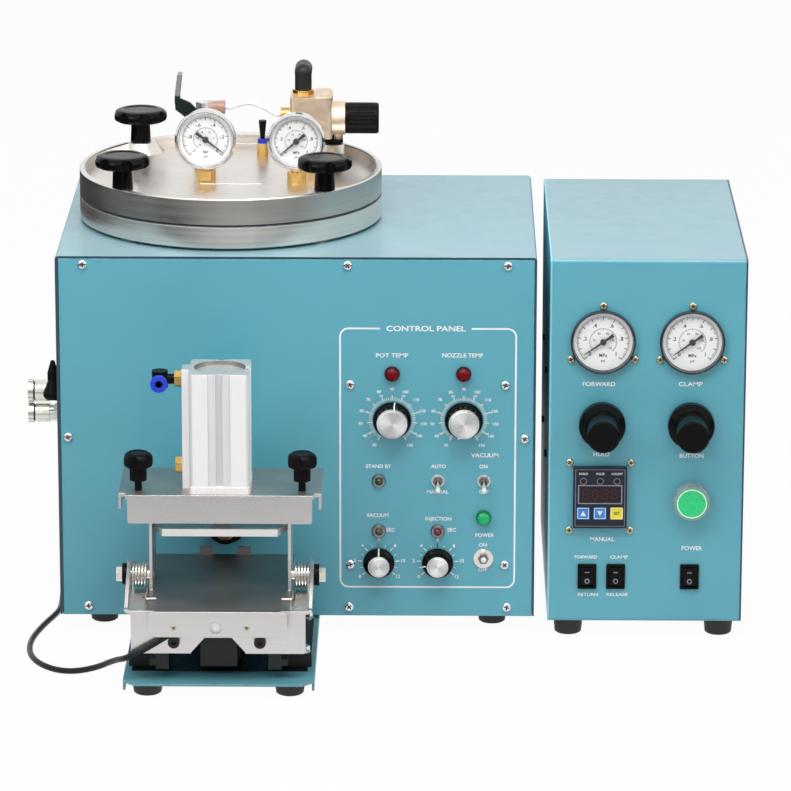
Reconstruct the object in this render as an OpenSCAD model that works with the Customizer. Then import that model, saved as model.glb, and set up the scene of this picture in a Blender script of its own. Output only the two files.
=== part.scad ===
// Vacuum wax injector: wax-pot cabinet, mould clamp in front of the nozzle and air control box.
// Working frame: x right from the cabinet's left side, y back from its front face, z up from its underside.

/* [Cabinet] */
// Width of the wax-pot cabinet
cab_w = 400; // [340:1:480]
// Depth of the wax-pot cabinet
cab_d = 300; // [290:1:360]
// Height of the wax-pot cabinet above its feet
cab_h = 312; // [300:1:380]
// Thickness of the painted sheet
sheet = 1.5; // [1.2:0.1:2]
// Width of the return lips behind the panels
lip = 12; // [9:1:14]
// Height of the cabinet and box feet
foot_h = 15; // [14:1:18]
// Diameter of all feet
foot_d = 25; // [20:1:30]

/* [Pot and lid] */
// Distance of the pot and nozzle line from the cabinet's left side
line_x = 140.5; // [135:0.5:160]
// Gap from the cabinet's front face to the lid's edge
lid_set = 17; // [12:1:20]
// Diameter of the lid and the pot flange
lid_d = 258; // [240:1:262]
// Height of the lid's rim
lid_h = 23; // [20:1:28]
// Depth of the lid's tray below its rim
tray_h = 9.5; // [7:0.5:11]
// Height of the pot flange
flange_h = 19.2; // [16:0.1:22]
// Outer diameter of the pot
pot_d = 196; // [170:1:200]
// Wall of the pot
pot_wall = 3; // [2:0.5:5]
// Diameter of the lid knobs' star heads, on a lid of 258
star_d = 46; // [40:1:48]
// Diameter of the left and right lid gauges
lid_gauge_d = [52, 49];

/* [Mould clamp] */
// Height of the mould table above the cabinet's underside
table_z = 59; // [57:0.5:62]
// Width of the mould table
table_w = 116; // [104:1:118]
// Sheet of the table, carriage and head plate
steel = 2.5; // [2:0.1:3]
// Distance of the table's front flange from the cabinet
table_reach = 172.5; // [168:0.5:180]
// Clear height under the press plate
mould_gap = 46.5; // [38:0.5:50]
// Side of the square air cylinder
cyl_w = 50; // [44:1:56]
// Height of the air cylinder
cyl_h = 101; // [90:1:115]
// Bore of the air cylinder
cyl_bore = 40; // [32:1:41]
// Stroke of the press plate
press_stroke = 40; // [30:1:40]
// Stroke of the carriage towards the nozzle
slide_stroke = 12; // [8:1:12]
// Wire of the torsion springs
wire_d = 1.9; // [1.6:0.1:1.9]

/* [Control box] */
// Gap between the cabinet and the control box
box_gap = 11; // [8:1:30]
// Width of the control box
box_w = 163; // [150:1:200]
// Depth of the control box
box_d = 294; // [240:1:330]
// Height of the control box above its feet
box_h = 314; // [300:1:380]
// How far the control box stands in front of the cabinet's face
box_front = 13; // [0:1:25]
// Diameter of the box gauges
box_gauge_d = 54; // [50:1:60]

/* [Hidden] */
$fn = 48;

// Clearances: sliding pieces, running shafts, screws in their holes, panel seams
slide_gap = 0.3;
run_gap = 0.05;
hole_gap = 0.2;
seam = 0.6;

// Paint and materials
teal = [0.42, 0.68, 0.73];
steel_grey = [0.78, 0.78, 0.77];
black = [0.09, 0.09, 0.1];
brass = [0.8, 0.62, 0.25];

// Screws
screw_r = 1.5;
head_r = 3.3;

// Pot and lid, from the cabinet's top up
pot_r = pot_d / 2;
lid_r = lid_d / 2;
pot_y = lid_set + lid_r;
// Pieces on the lid keep their places in proportion to it
lid_k = lid_d / 258;
function on_lid(dx, dy) = [line_x + lid_k * dx, pot_y + lid_k * dy];
pad_h = 2;
flange_z = cab_h + pad_h;
lid_z = flange_z + flange_h + slide_gap;
rim_z = lid_z + lid_h;
tray_z = rim_z - tray_h;
rim_w = 5;
edge = 1;
star_r = star_d / 2 * lid_k;
star_reach = lid_r - 6;
star_at = [46, 132, 225, 312];
stud_r = 4;
boss_r = 13;
stem_r = 8;
stem_h = 18;
star_h = 10.5;

// Nozzle above the mould table
nozzle_z = table_z + 23;
nozzle_reach = 36;
nozzle_travel = 4;
tip_r = 4;
sleeve_r = 13;
sleeve_l = 22;
block_w = 32;
pot_floor = nozzle_z - 22;

// Control panel, measured from the cabinet's right side
panel_x = cab_w - 90;
dial_big = [[panel_x - 30, 172], [panel_x + 30, 172]];
dial_small = [[panel_x - 41, 47], [panel_x + 8.5, 47]];
red_lamps = [[panel_x - 30, 212], [panel_x + 29.6, 212]];
power_lamp = [panel_x + 47, 87];
leds = [[panel_x - 41, 119], [panel_x - 41, 75], [panel_x + 8.5, 75]];
toggles = [[panel_x + 8.5, 119], [panel_x + 47, 119], [panel_x + 47, 51]];
toggle_lean = [-14, -14, 14];
big_knob_r = 16;
small_knob_r = 13.2;
pot_shaft_r = 3;
bushing_r = 4.5;
led_r = 5.2;
lamp_r = 6.5;
front_screws = [
  [23, cab_h - 7], [panel_x - 67, cab_h - 7], [panel_x + 66, cab_h - 7], [9, cab_h / 2], [cab_w - 9, cab_h / 2],
  [24, 8], [panel_x - 66, 8], [panel_x + 67, 8],
  [panel_x - 65, 202.5], [panel_x + 64.5, 202.5], [panel_x - 65, 45.5], [panel_x + 65, 45.5]
];

// Lid fittings: offsets from the pot's centre line and distances behind the lid's front edge
gauge_at = [on_lid(-20, -21), on_lid(57, -27)];
gauge_z = tray_z + 38;
gauge_depth = 26;
needle_rest = [-37, 220];
valve_at = on_lid(-24.5, 44);
valve_z = tray_z + 36;
reg_at = on_lid(68, 44);
reg_w = 36 * lid_k;
reg_z = tray_z + 26;
plug_at = on_lid(24.5, 78);
tube_d = 4;

// Clamp: reach is measured forward from the cabinet's face
plate_top = -3;
plate_t = 2;
base_w = 156;
base_front = 171;
base_back = 60;
gap_front = 8.5;
flange_front = table_reach - steel - gap_front;
floor_top = table_z - steel - slide_gap;
ear_out = table_w / 2 + 18.5;
ear_t = 3;
floor_back = 99;
pivot_y = -100;
pivot_z = table_z + 9;
pivot_r = 5;
ear_r = 14;
bush_t = 4.5;
table_back = 16;
arm_out = table_w / 2;
press_bottom = table_z + mould_gap;
press_t = 6;
head_t = 3;
head_top = press_bottom + press_t + 29.5;
head_front = 118;
head_d = 79;
head_w = table_w + 50;
knob_out = arm_out + 9;
knob_y = -102;
head_screw_r = 3;
rod_r = 8;
rod_y = -head_front + 2.5 + cyl_w / 2;
rail_in = 51.5;
rail_front = 126;
rail_back = 26;
push_rod_r = 4;
push_rod_z = 14;
lamp_x = line_x - 1.5;
lamp_z = table_z - 13.5;

// Torsion springs
coil_r = 9.9;
coil_turns = 4.76;
coil_pitch = wire_d + 0.62;
foot_y = -142;

// Control box
box_x = cab_w + box_gap;
box_y = -box_front;
gauge_cols = [box_x + 44, box_x + 118];
gauge_screw_r = box_gauge_d / 2 + head_r + slide_gap;
box_gauge_z = 244;
box_needle_rest = 215;
box_knob_z = 173;
timer_at = [box_x + 43, 110];
timer_size = [45, 53];
button_at = [box_x + 119.5, 107];
button_r = 13.4;
button_travel = 4;
rocker_at = [[box_x + 33, 40], [box_x + 57, 40], [box_x + 119, 40]];
rocker_size = [15.8, 21.5];
rocker_lean = 8;
side_screws = [for (y = [-53, 53], z = [-37, 37]) [box_d / 2 + y, box_h / 2 + z]];

// Left side: air couplers, silencer and cord gland
coupler_reach = 27;
coupler_bore = 4;
couplers = [[40, 185, 9], [40, 166, 8]];
gland_at = [220, 8];
gland_x = -8.5;
cord_d = 5;

// Black cord from the gland along the floor to the table lamp's housing, drawn for the lamp at cord_lamp
cord_lamp = [139, -161.5, 45.5];
cord_plan = [
  [gland_x, gland_at.x - 24, gland_at.y], [gland_x, gland_at.x - 33, gland_at.y], [-8.4, 172, 3.5], [-8, 158, -3.5],
  [-7.4, 144, -9], [-6.6, 130, -12], [-6, 114, -12.5], [-5.4, 98, -12.5], [-4.8, 82, -12.5], [-4.4, 66, -12.5],
  [-4.7, 54, -12.5], [-6.4, 42, -12.5], [-9.3, 30, -12.5], [-12.6, 18, -12.5], [-15.6, 6, -12.5],
  [-18.4, -7, -12.5], [-20.6, -19, -12.5], [-22, -31, -12.5], [-22.5, -43, -12.5], [-22, -55, -12.5],
  [-20.3, -67, -12.5], [-17, -79, -12.5], [-12, -90, -12.5], [-5, -100, -12.5], [4, -108, -12.5], [14, -114.5, -11.5],
  [24, -119, -9.5], [34, -124, -6], [43, -131, -1], [50, -139, 4.5], [57, -149, 10], [63.5, -160, 15],
  [70.5, -165, 19.5], [79, -166, 24], [87.5, -166, 29], [95.5, -166, 34], [104, -166, 39.5], [112, -166, 43.5],
  [120, -166, 45.5], [127, -166, 45.5]
];
cord_drift = [lamp_x, -flange_front, lamp_z] - cord_lamp;
cord_route = [for (i = [0 : len(cord_plan) - 1]) cord_plan[i] + max(0, min(1, (i - 24) / 8)) * cord_drift];

// White air tube from the ball valve to the regulator
tube_from = [valve_at.x + 18, valve_at.y, tray_z + 50];
tube_to = [reg_at.x - reg_w / 2 - 8.5, reg_at.y, reg_z + reg_w / 2];
tube_drop = (tube_to.z - tube_from.z) / 12;
tube_rise = [0, -tube_drop, 2, 3.8, 5.4, 6.3, 6.4, 5.7, 4.4, 2.7, 1, tube_drop, 0];
tube_route = [for (k = [0 : 12]) tube_from + k / 12 * (tube_to - tube_from) + [0, 0, tube_rise[k]]];

// The origin is on the floor, under the middle of the whole set
x_low = -coupler_reach;
x_high = box_x + box_w + 2;
y_low = -table_reach;
y_high = max(cab_d, box_y + box_d);
origin = [(x_low + x_high) / 2, (y_low + y_high) / 2, -foot_h];
module placed() translate(-origin) children();

// Local frames on a face: x right, y up and z out of the face
module on_front(p) translate(p) rotate([90, 0, 0]) children();
module on_left(p) translate(p) rotate([0, -90, 0]) children();
module on_right(p) translate(p) rotate([0, 90, 0]) children();

// Shafts along an axis
module along_y(p, r, h) translate(p) rotate([-90, 0, 0]) cylinder(r = r, h = h);
module along_x(p, r, h) translate(p) rotate([0, 90, 0]) cylinder(r = r, h = h);

// Rectangle with round corners, centred
module round_rect(w, h, r) {
  square([w - 2 * r, h], center = true);
  square([w, h - 2 * r], center = true);
  for (x = [-1, 1], y = [-1, 1])
    translate([x * (w / 2 - r), y * (h / 2 - r)]) circle(r);
}

// Upright rectangle from the origin with round upper corners
module arch(w, h, r) {
  square([w, h - r]);
  translate([r, 0]) square([w - 2 * r, h]);
  for (x = [r, w - r])
    translate([x, h - r]) circle(r);
}

// Pan head with its short shank, seated on z = 0
module pan_screw(shank = 1.2) {
  rotate_extrude() polygon([[0, 0], [head_r, 0], [head_r, 1], [head_r - 0.9, 1.9], [0, 2]]);
  translate([0, 0, -shank]) cylinder(r = screw_r, h = shank);
}

// Unit vector and the tangents of a route
function unit(v) = v / norm(v);
function tangents(p) = [for (i = [0 : len(p) - 1]) unit(p[min(i + 1, len(p) - 1)] - p[max(i - 1, 0)])];
// Normals carried along a route without twist
function carried(t, n, i = 0, out = []) =
  i == len(t) ? out : let (m = unit(n - (n * t[i]) * t[i])) carried(t, m, i + 1, concat(out, [m]));
// Smallest gap of a tube to itself, taken between rings that aren't neighbours
function self_gap(p, d, skip) =
  min([for (i = [0 : len(p) - 1], j = [i + skip : 1 : len(p) - 1]) norm(p[i] - p[j])]) - d;

// Closed round tube along a route
module tube(p, d, sides, first_normal) {
  t = tangents(p);
  n = carried(t, first_normal);
  count = len(p);
  points = [for (i = [0 : count - 1], k = [0 : sides - 1])
    p[i] + d / 2 * (cos(360 * k / sides) * n[i] + sin(360 * k / sides) * cross(t[i], n[i]))];
  skin = [for (i = [0 : count - 2], k = [0 : sides - 1], half = [0, 1])
    let (a = i * sides + k, b = i * sides + (k + 1) % sides)
    half == 0 ? [a, a + sides, b] : [b, a + sides, b + sides]];
  caps = [for (k = [1 : sides - 2], end = [0, 1])
    let (s = end * (count - 1) * sides)
    end == 0 ? [s, s + k, s + k + 1] : [s, s + k + 1, s + k]];
  polyhedron(points = points, faces = concat(skin, caps));
}

// Cabinet: wrap-round cover with return lips, front panel, chassis with back

module cabinet_cover() color(teal) difference() {
  union() {
    on_front([0, cab_d, 0]) linear_extrude(cab_d) difference() {
      arch(cab_w, cab_h, 3);
      translate([sheet, -1]) arch(cab_w - 2 * sheet, cab_h - sheet + 1, 3 - sheet);
    }
    for (y = [2 * sheet, cab_d - sheet])
      on_front([0, y, 0]) linear_extrude(sheet) difference() {
        translate([sheet, 2 * sheet]) square([cab_w - 2 * sheet, cab_h - 3 * sheet]);
        translate([sheet + lip, 0]) square([cab_w - 2 * (sheet + lip), cab_h - sheet - lip]);
      }
  }
  translate([line_x, pot_y, cab_h - 2 * sheet]) cylinder(r = pot_r + 3, h = 4 * sheet);
}

module front_panel() color(teal) on_front([0, sheet, 0]) linear_extrude(sheet) difference() {
  translate([sheet + seam, 0]) square([cab_w - 2 * (sheet + seam), cab_h - sheet - seam]);
  translate([line_x, nozzle_z]) circle(sleeve_r + 1);
  for (p = concat(dial_big, dial_small)) translate(p) circle(bushing_r + hole_gap);
  for (p = concat(red_lamps, [power_lamp])) translate(p) circle(lamp_r - 1 + hole_gap);
  for (p = leds) translate(p) circle(led_r - 1.4 + hole_gap);
  for (p = toggles) translate(p) circle(bushing_r - 1.5 + hole_gap);
  for (p = front_screws) translate(p) circle(screw_r + hole_gap);
}

// Vents in the back, bolt holes for the clamp's base plate
vent = [60, 3];
base_bolts = [for (x = [-50, 50], y = [20, 45]) [line_x + x, y]];

module chassis() color(teal) difference() {
  union() {
    translate([sheet + hole_gap, sheet, 0])
      cube([cab_w - 2 * (sheet + hole_gap), cab_d - sheet, sheet]);
    translate([sheet + lip + 2, sheet, 0]) cube([cab_w - 2 * (sheet + lip + 2), sheet, lip]);
    translate([sheet + seam, cab_d - sheet, 0])
      cube([cab_w - 2 * (sheet + seam), sheet, cab_h - sheet - seam]);
  }
  for (x = [-1, 1], k = [0 : 5])
    translate([cab_w / 2 + x * 80 - vent.x / 2, cab_d - 2 * sheet, cab_h - 60 - 9 * k])
      cube([vent.x, 3 * sheet, vent.y]);
  for (p = base_bolts) translate([p.x, p.y, -1]) cylinder(r = screw_r + hole_gap, h = sheet + 2);
}

module foot(h) rotate_extrude() polygon([
  [0, 0], [foot_d / 2 - 2.5, 0], [foot_d / 2 - 1.2, 1], [foot_d / 2, h - 1.5], [foot_d / 2 - 0.6, h], [0, h]
]);

foot_in = 35;
clamp_feet = [for (x = [-58, 58], y = [-155.5, base_back - 15]) [line_x + x, y]];

module rubber_feet() color(black) {
  for (x = [foot_in, cab_w - foot_in], y = [foot_in, cab_d - foot_in])
    translate([x, y, -foot_h]) foot(foot_h);
  for (x = [18, box_w - 18], y = [20, box_d - 20])
    translate([box_x + x, box_y + y, -foot_h]) foot(foot_h);
  for (p = clamp_feet)
    translate([p.x, p.y, -foot_h]) foot(foot_h + plate_top - plate_t);
}

module panel_screws() color(steel_grey) {
  for (p = front_screws) on_front([p.x, 0, p.y]) pan_screw();
  for (x = gauge_cols, a = [90, 210, 330])
    on_front([x + gauge_screw_r * cos(a), box_y, box_gauge_z + gauge_screw_r * sin(a)]) pan_screw();
  for (x = [-1, 1], z = [-1, 1])
    on_front([timer_at.x + x * (timer_size.x / 2 + 3), box_y, timer_at.y + z * (timer_size.y / 2 + 3)])
      pan_screw();
  for (p = side_screws) {
    on_left([box_x, box_y + p.x, p.y]) pan_screw();
    on_right([box_x + box_w, box_y + p.x, p.y]) pan_screw();
  }
  for (p = base_bolts) {
    translate([p.x, p.y, sheet]) pan_screw(sheet - plate_top);
    translate([p.x, p.y, plate_top]) difference() {
      cylinder(r = 5, h = -plate_top);
      translate([0, 0, -1]) cylinder(r = screw_r + hole_gap, h = 2 - plate_top);
    }
  }
}

// Pot: shell with its flange, band heater, nozzle block and sprung tip

module wax_pot() color(steel_grey) difference() {
  union() {
    translate([line_x, pot_y, 0]) rotate_extrude($fn = 96) polygon([
      [0, pot_floor], [pot_r - 4, pot_floor], [pot_r, pot_floor + 4], [pot_r, flange_z],
      [lid_r - edge, flange_z], [lid_r, flange_z + edge], [lid_r, flange_z + flange_h - edge],
      [lid_r - edge, flange_z + flange_h], [pot_r - pot_wall, flange_z + flange_h],
      [pot_r - pot_wall, pot_floor + 5], [0, pot_floor + 5]
    ]);
    for (a = star_at)
      translate([line_x, pot_y, 0] + (lid_r - 14) * [cos(a), sin(a), 0] + [0, 0, cab_h])
        cylinder(r = 8, h = pad_h);
  }
  along_y([line_x, pot_y - pot_r - 1, nozzle_z], 4, 3 * pot_wall);
  for (a = star_at)
    translate([line_x, pot_y, 0] + star_reach * [cos(a), sin(a), 0] + [0, 0, flange_z + flange_h - 11])
      cylinder(r = stud_r + slide_gap, h = 12);
}

band_z = nozzle_z + block_w / 2 + 10;
band_h = 90;

module heater_band() color([0.72, 0.7, 0.66]) translate([line_x, pot_y, band_z]) difference() {
  union() {
    cylinder(r = pot_r + 4, h = band_h, $fn = 96);
    translate([-9, -pot_r - 16, 0]) cube([18, 18, band_h]);
  }
  translate([0, 0, -1]) cylinder(r = pot_r + hole_gap, h = band_h + 2, $fn = 96);
  translate([-3, -pot_r - 17, -1]) cube([6, 20, band_h + 2]);
  for (z = [15, band_h - 15])
    along_x([-10, -pot_r - 10, z], 2, 20);
}

module nozzle_block() {
  color(brass) difference() {
    union() {
      translate([line_x - block_w / 2, 2 * sheet, nozzle_z - block_w / 2])
        cube([block_w, pot_y - pot_r / 2, block_w]);
      along_y([line_x, -sleeve_l, nozzle_z], sleeve_r - 4, sleeve_l + 4);
    }
    translate([line_x, pot_y, nozzle_z - block_w])
      cylinder(r = pot_r + hole_gap, h = 2 * block_w, $fn = 96);
    along_y([line_x, -sleeve_l - 1, nozzle_z], tip_r + run_gap, sleeve_l + 15);
    along_y([line_x, 10, nozzle_z], 2, pot_y);
  }
  color(black) difference() {
    union() {
      along_y([line_x, -sleeve_l + 1, nozzle_z], sleeve_r, sleeve_l - 1);
      along_y([line_x, -3, nozzle_z], sleeve_r + 5, 3);
    }
    along_y([line_x, -sleeve_l, nozzle_z], sleeve_r - 4 + hole_gap, sleeve_l + 1);
  }
}

module nozzle_tip() color([0.75, 0.45, 0.3]) on_front([line_x, 0, nozzle_z]) rotate_extrude() polygon([
  [0, 2], [tip_r, 2], [tip_r, sleeve_l + nozzle_travel + slide_gap], [tip_r + 2, sleeve_l + nozzle_travel + slide_gap],
  [tip_r + 2, nozzle_reach - 4], [2.2, nozzle_reach], [1, nozzle_reach], [1, nozzle_reach - 8], [0, nozzle_reach - 8]
]);

// Inside the cabinet: board on pillars, transformer on its pad, two solenoid valves

gear_x = cab_w - 150;
module control_gear() {
  color([0.1, 0.35, 0.2]) translate([gear_x, 60, sheet]) {
    for (x = [8, 112], y = [8, 92]) translate([x, y, 0]) cylinder(r = 3, h = 10);
    translate([0, 0, 10]) cube([120, 100, 1.6]);
    for (k = [0 : 2]) translate([15 + 32 * k, 60, 11.6]) cube([20, 28, 16]);
    translate([90, 25, 11.6]) cylinder(r = 11, h = 28);
  }
  color([0.6, 0.4, 0.2]) translate([gear_x + 85, 225, sheet]) difference() {
    cylinder(r = 45, h = 42);
    translate([0, 0, -1]) cylinder(r = 16, h = 44);
  }
  for (k = [0, 1])
    color(black) translate([gear_x - 8, 190 + 40 * k, sheet]) {
      cube([36, 24, 22]);
      translate([18, 12, 22]) cylinder(r = 11, h = 30);
    }
}

// Quick couplers, silencer and cord gland on the left side

module side_fittings() {
  for (c = couplers)
    color(steel_grey) on_left([0, c.x, c.y]) difference() {
      union() {
        cylinder(r = c.z, h = 5, $fn = 6);
        translate([0, 0, 5]) cylinder(r = c.z - 1, h = 4);
        translate([0, 0, 9]) cylinder(r = c.z, h = 12);
        translate([0, 0, 21]) cylinder(r = c.z - 1.2, h = 1.5);
        translate([0, 0, 22.5]) cylinder(r = c.z + 0.5, h = coupler_reach - 22.5);
      }
      translate([0, 0, coupler_reach - 15]) cylinder(r = coupler_bore, h = 16);
    }
  color(black) intersection() {
    translate([-4.5, 18, 200]) rotate_extrude() polygon([
      [0, 18], [1.8, 17], [4.6, 7], [4.6, 1], [4, 0.5], [4.4, -0.5], [8.4, -10], [8.4, -13], [7, -15.5], [0, -16.5]
    ]);
    translate([-30, 0, 150]) cube([30, 40, 100]);
  }
  color(black) {
    on_left([0, gland_at.x, gland_at.y + 7]) cylinder(r = 8, h = -gland_x + 6);
    translate([gland_x, cord_route[0].y, gland_at.y]) rotate([-90, 0, 0])
      cylinder(r1 = cord_d / 2 + 1.2, r2 = 6, h = gland_at.x - cord_route[0].y);
  }
}

// On the control panel: potentiometers, lamps, indicator bezels, toggle bushings

module dial_pot(p) on_front([p.x, 0, p.y]) difference() {
  union() {
    translate([0, 0, -sheet - 12]) cylinder(r = 11, h = 12);
    translate([0, 0, -sheet - 1]) cylinder(r = bushing_r, h = sheet + 2);
  }
  translate([0, 0, -sheet - 8]) cylinder(r = pot_shaft_r + run_gap, h = 20);
}

module toggle_bushing(p, ring_r) on_front([p.x, 0, p.y]) difference() {
  union() {
    translate([0, 0, -sheet - 18]) linear_extrude(18) round_rect(13, 20, 1);
    translate([0, 0, -sheet - 1]) cylinder(r = bushing_r - 1.5, h = sheet + 7);
    cylinder(r = ring_r, h = 1);
    translate([0, 0, 1]) cylinder(r = 4.6, h = 2.4, $fn = 6);
  }
  translate([0, 0, -sheet - 6]) cylinder(r1 = 1.6, r2 = 2.4, h = sheet + 13);
  translate([0, 0, toggle_pin]) sphere(r = 2.2);
}

toggle_pin = 1.5;
module panel_fittings() {
  color(steel_grey) {
    for (p = concat(dial_big, dial_small)) dial_pot(p);
    for (k = [0 : 2]) toggle_bushing(toggles[k], k == 2 ? 8.3 : 5.5);
    for (p = leds) on_front([p.x, 0, p.y]) difference() {
      union() {
        rotate_extrude() polygon([[0, 0], [led_r + 0.8, 0], [led_r + 0.8, 1], [led_r, 2.4], [led_r - 1.2, 2.6], [0, 2.6]]);
        translate([0, 0, -sheet - 4]) cylinder(r = led_r - 1.4, h = sheet + 5);
      }
      translate([0, 0, 0.6]) cylinder(r = led_r - 1.8, h = 3);
    }
  }
  for (p = leds)
    color([0.1, 0.3, 0.12]) on_front([p.x, 0, p.y]) rotate_extrude()
      polygon([[0, 0.6], [2.9, 0.6], [2.9, 2.6], [2.2, 4], [1.1, 4.8], [0, 5]]);
  for (p = concat(red_lamps, [power_lamp]))
    color(p == power_lamp ? [0.05, 0.6, 0.3] : [0.6, 0.02, 0.04]) on_front([p.x, 0, p.y]) {
      rotate_extrude() polygon([[0, 0], [lamp_r, 0], [lamp_r, 2], [lamp_r - 1, 4.6], [lamp_r - 3.5, 6.4], [0, 7]]);
      translate([0, 0, -sheet - 10]) cylinder(r = lamp_r - 1, h = sheet + 10);
    }
}

// Panel knob: flared skirt, fluted grip and a spun cap, on its shaft. Turn 0 points straight up.
module dial_knob(p, r, cap_r, turn) on_front([p.x, 0, p.y]) rotate([0, 0, -turn]) {
  color(black) difference() {
    rotate_extrude() polygon([
      [0, 1.4], [r - 0.6, 1.4], [r, 2.2], [r - 0.8, 3.8], [cap_r + 2.4, 5.4], [cap_r + 1.4, 13.4], [0, 13.4]
    ]);
    for (k = [0 : 17])
      rotate([0, 0, 20 * k + 10]) translate([cap_r + 3, 0, 6]) cylinder(r = 1.5, h = 9);
  }
  color(steel_grey) translate([0, 0, 13.4]) rotate_extrude()
    polygon([[0, 0], [cap_r, 0], [cap_r, 0.8], [cap_r - 0.5, 1.4], [0, 1.4]]);
  color(black) translate([0, 0, -sheet - 7]) cylinder(r = pot_shaft_r, h = sheet + 9);
}

module pot_temp_knob() dial_knob(dial_big[0], big_knob_r, 11.3, 8);
module nozzle_temp_knob() dial_knob(dial_big[1], big_knob_r, 11.3, 197);
module vacuum_time_knob() dial_knob(dial_small[0], small_knob_r, 7.6, 0);
module inject_time_knob() dial_knob(dial_small[1], small_knob_r, 7.6, -100);

// Bat lever that swings on the ball in its bushing
module toggle(k) color(steel_grey)
  on_front([toggles[k].x, 0, toggles[k].y]) translate([0, 0, toggle_pin]) rotate([-toggle_lean[k], 0, 0]) {
    sphere(r = 2.2 - run_gap);
    rotate_extrude() polygon([[0, -3], [0.8, -3], [0.8, 0], [1, 3], [1.3, 8], [2.5, 15.4], [2.2, 17], [1.2, 17.8], [0, 18]]);
  }

// Lid: tray with a raised rim, bosses for its knobs

module lid() color(steel_grey) difference() {
  union() {
    translate([line_x, pot_y, 0]) rotate_extrude($fn = 96) polygon([
      [0, lid_z], [lid_r - edge, lid_z], [lid_r, lid_z + edge], [lid_r, rim_z - edge], [lid_r - edge, rim_z],
      [lid_r - rim_w + edge, rim_z], [lid_r - rim_w, rim_z - edge], [lid_r - rim_w, tray_z], [0, tray_z]
    ]);
    intersection() {
      translate([line_x, pot_y, lid_z]) cylinder(r = lid_r - edge, h = lid_h, $fn = 96);
      for (a = star_at)
        translate([line_x, pot_y, tray_z - 1] + star_reach * [cos(a), sin(a), 0])
          cylinder(r1 = boss_r + 8, r2 = boss_r, h = tray_h + 1);
    }
  }
  for (a = star_at)
    translate([line_x, pot_y, lid_z - 1] + star_reach * [cos(a), sin(a), 0])
      cylinder(r = stud_r + slide_gap, h = lid_h + 2);
  translate([line_x + 1.5 - 26, lid_set + 97, tray_z - 0.8]) cube([52, 2, 2]);
}

// Lobed grip: a disc with scallops round its edge
module star_grip(r, h, lobes, bite, out) difference() {
  rotate_extrude() polygon([
    [0, 0], [r - 3, 0], [r - 0.8, 1.2], [r, 3], [r, h - 4.5], [r - 0.6, h - 2.8], [r - 2, h - 1.3], [r - 4.2, h - 0.3],
    [0.66 * r, h], [0.58 * r, h - 0.8], [0, h - 0.8]
  ]);
  for (k = [0 : lobes - 1])
    rotate([0, 0, 360 / lobes * (k + 0.5)]) translate([r + out, 0, -1]) cylinder(r = bite, h = h + 2);
}

module lid_knob(k) color(black)
  translate([line_x, pot_y, rim_z] + star_reach * [cos(star_at[k]), sin(star_at[k]), 0]) {
    translate([0, 0, slide_gap]) cylinder(r1 = stem_r + 0.8, r2 = stem_r, h = stem_h);
    translate([0, 0, stem_h]) star_grip(star_r, star_h, 7, 7, 3.85);
    translate([0, 0, 1 - lid_h]) cylinder(r = stud_r, h = lid_h);
  }

// Gauges: a flanged case with a raised bezel and a sunk dial, facing forward

module gauge_body(d, depth) difference() {
  rotate_extrude() polygon([
    [0, -depth], [d / 2 - 5, -depth], [d / 2 - 3, -depth + 2], [d / 2 - 3, -6], [d / 2 - 0.6, -6], [d / 2, -5],
    [d / 2, -1.4], [d / 2 - 1.4, 0], [d / 2 - 2.4, 0], [d / 2 - 3, -0.8], [d / 2 - 3.6, -5], [0, -5]
  ]);
  translate([0, 0, -9]) cylinder(r = 1 + run_gap, h = 10);
}

// Needle with its hub, tail and axle; lean is counted anticlockwise from +x
module gauge_needle(d, lean) color(black) {
  translate([0, 0, -8]) cylinder(r = 1, h = 5);
  translate([0, 0, -4]) cylinder(r = 2.6, h = 1.8);
  translate([0, 0, -3.6]) rotate([0, 0, lean]) linear_extrude(0.9)
    polygon([[-0.19 * d, -1.5], [-0.19 * d, 1.5], [-0.07 * d, 0.9], [0.36 * d, 0.3], [0.36 * d, -0.3], [-0.07 * d, -0.9]]);
}

function lid_gauge_p(k) = [gauge_at[k].x, gauge_at[k].y - gauge_depth / 2, gauge_z];

module lid_gauges() color(steel_grey) for (k = [0, 1]) {
  on_front(lid_gauge_p(k)) gauge_body(lid_gauge_d[k], gauge_depth);
  translate([gauge_at[k].x, gauge_at[k].y, tray_z + 10])
    cylinder(r = 4.5, h = gauge_z - lid_gauge_d[k] / 2 + 3 - tray_z - 9.5);
}

module lid_needle(k) on_front(lid_gauge_p(k)) gauge_needle(lid_gauge_d[k], needle_rest[k]);

// Pressure regulator on the lid: die-cast block, bonnet and ribbed knob along +x

module lid_regulator() color([0.78, 0.68, 0.55]) difference() {
  translate([reg_at.x, reg_at.y, reg_z]) {
    translate([-reg_w / 2, -reg_w / 2, 0]) linear_extrude(reg_w) translate([reg_w / 2, reg_w / 2]) round_rect(reg_w, reg_w, 4);
    along_x([reg_w / 2 - 1, 0, reg_w / 2 - 3], 14.5, 12);
    translate([reg_w / 2 + 5, 0, -4]) cylinder(r = 3.5, h = 10);
    translate([4, -reg_w / 2 + 3, reg_w - 1]) cube([12, reg_w - 6, 3]);
  }
  along_x([reg_at.x + 4, reg_at.y, reg_z + reg_w / 2 - 3], push_rod_r + run_gap, 40);
}

module lid_regulator_knob() color(black)
  translate([reg_at.x + reg_w / 2 + 11, reg_at.y, reg_z + reg_w / 2 - 3]) rotate([0, 90, 0]) difference() {
    union() {
      translate([0, 0, slide_gap]) rotate_extrude() polygon([[0, 0], [13.4, 0], [13.4, 27], [12.4, 28.6], [0, 28.6]]);
      translate([0, 0, -18]) cylinder(r = push_rod_r, h = 19);
    }
    for (k = [0 : 23])
      rotate([0, 0, 15 * k]) translate([14.2, 0, 3]) cylinder(r = 1.3, h = 22);
  }

// Brass on the lid, the ball valve, push-in fittings

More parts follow.
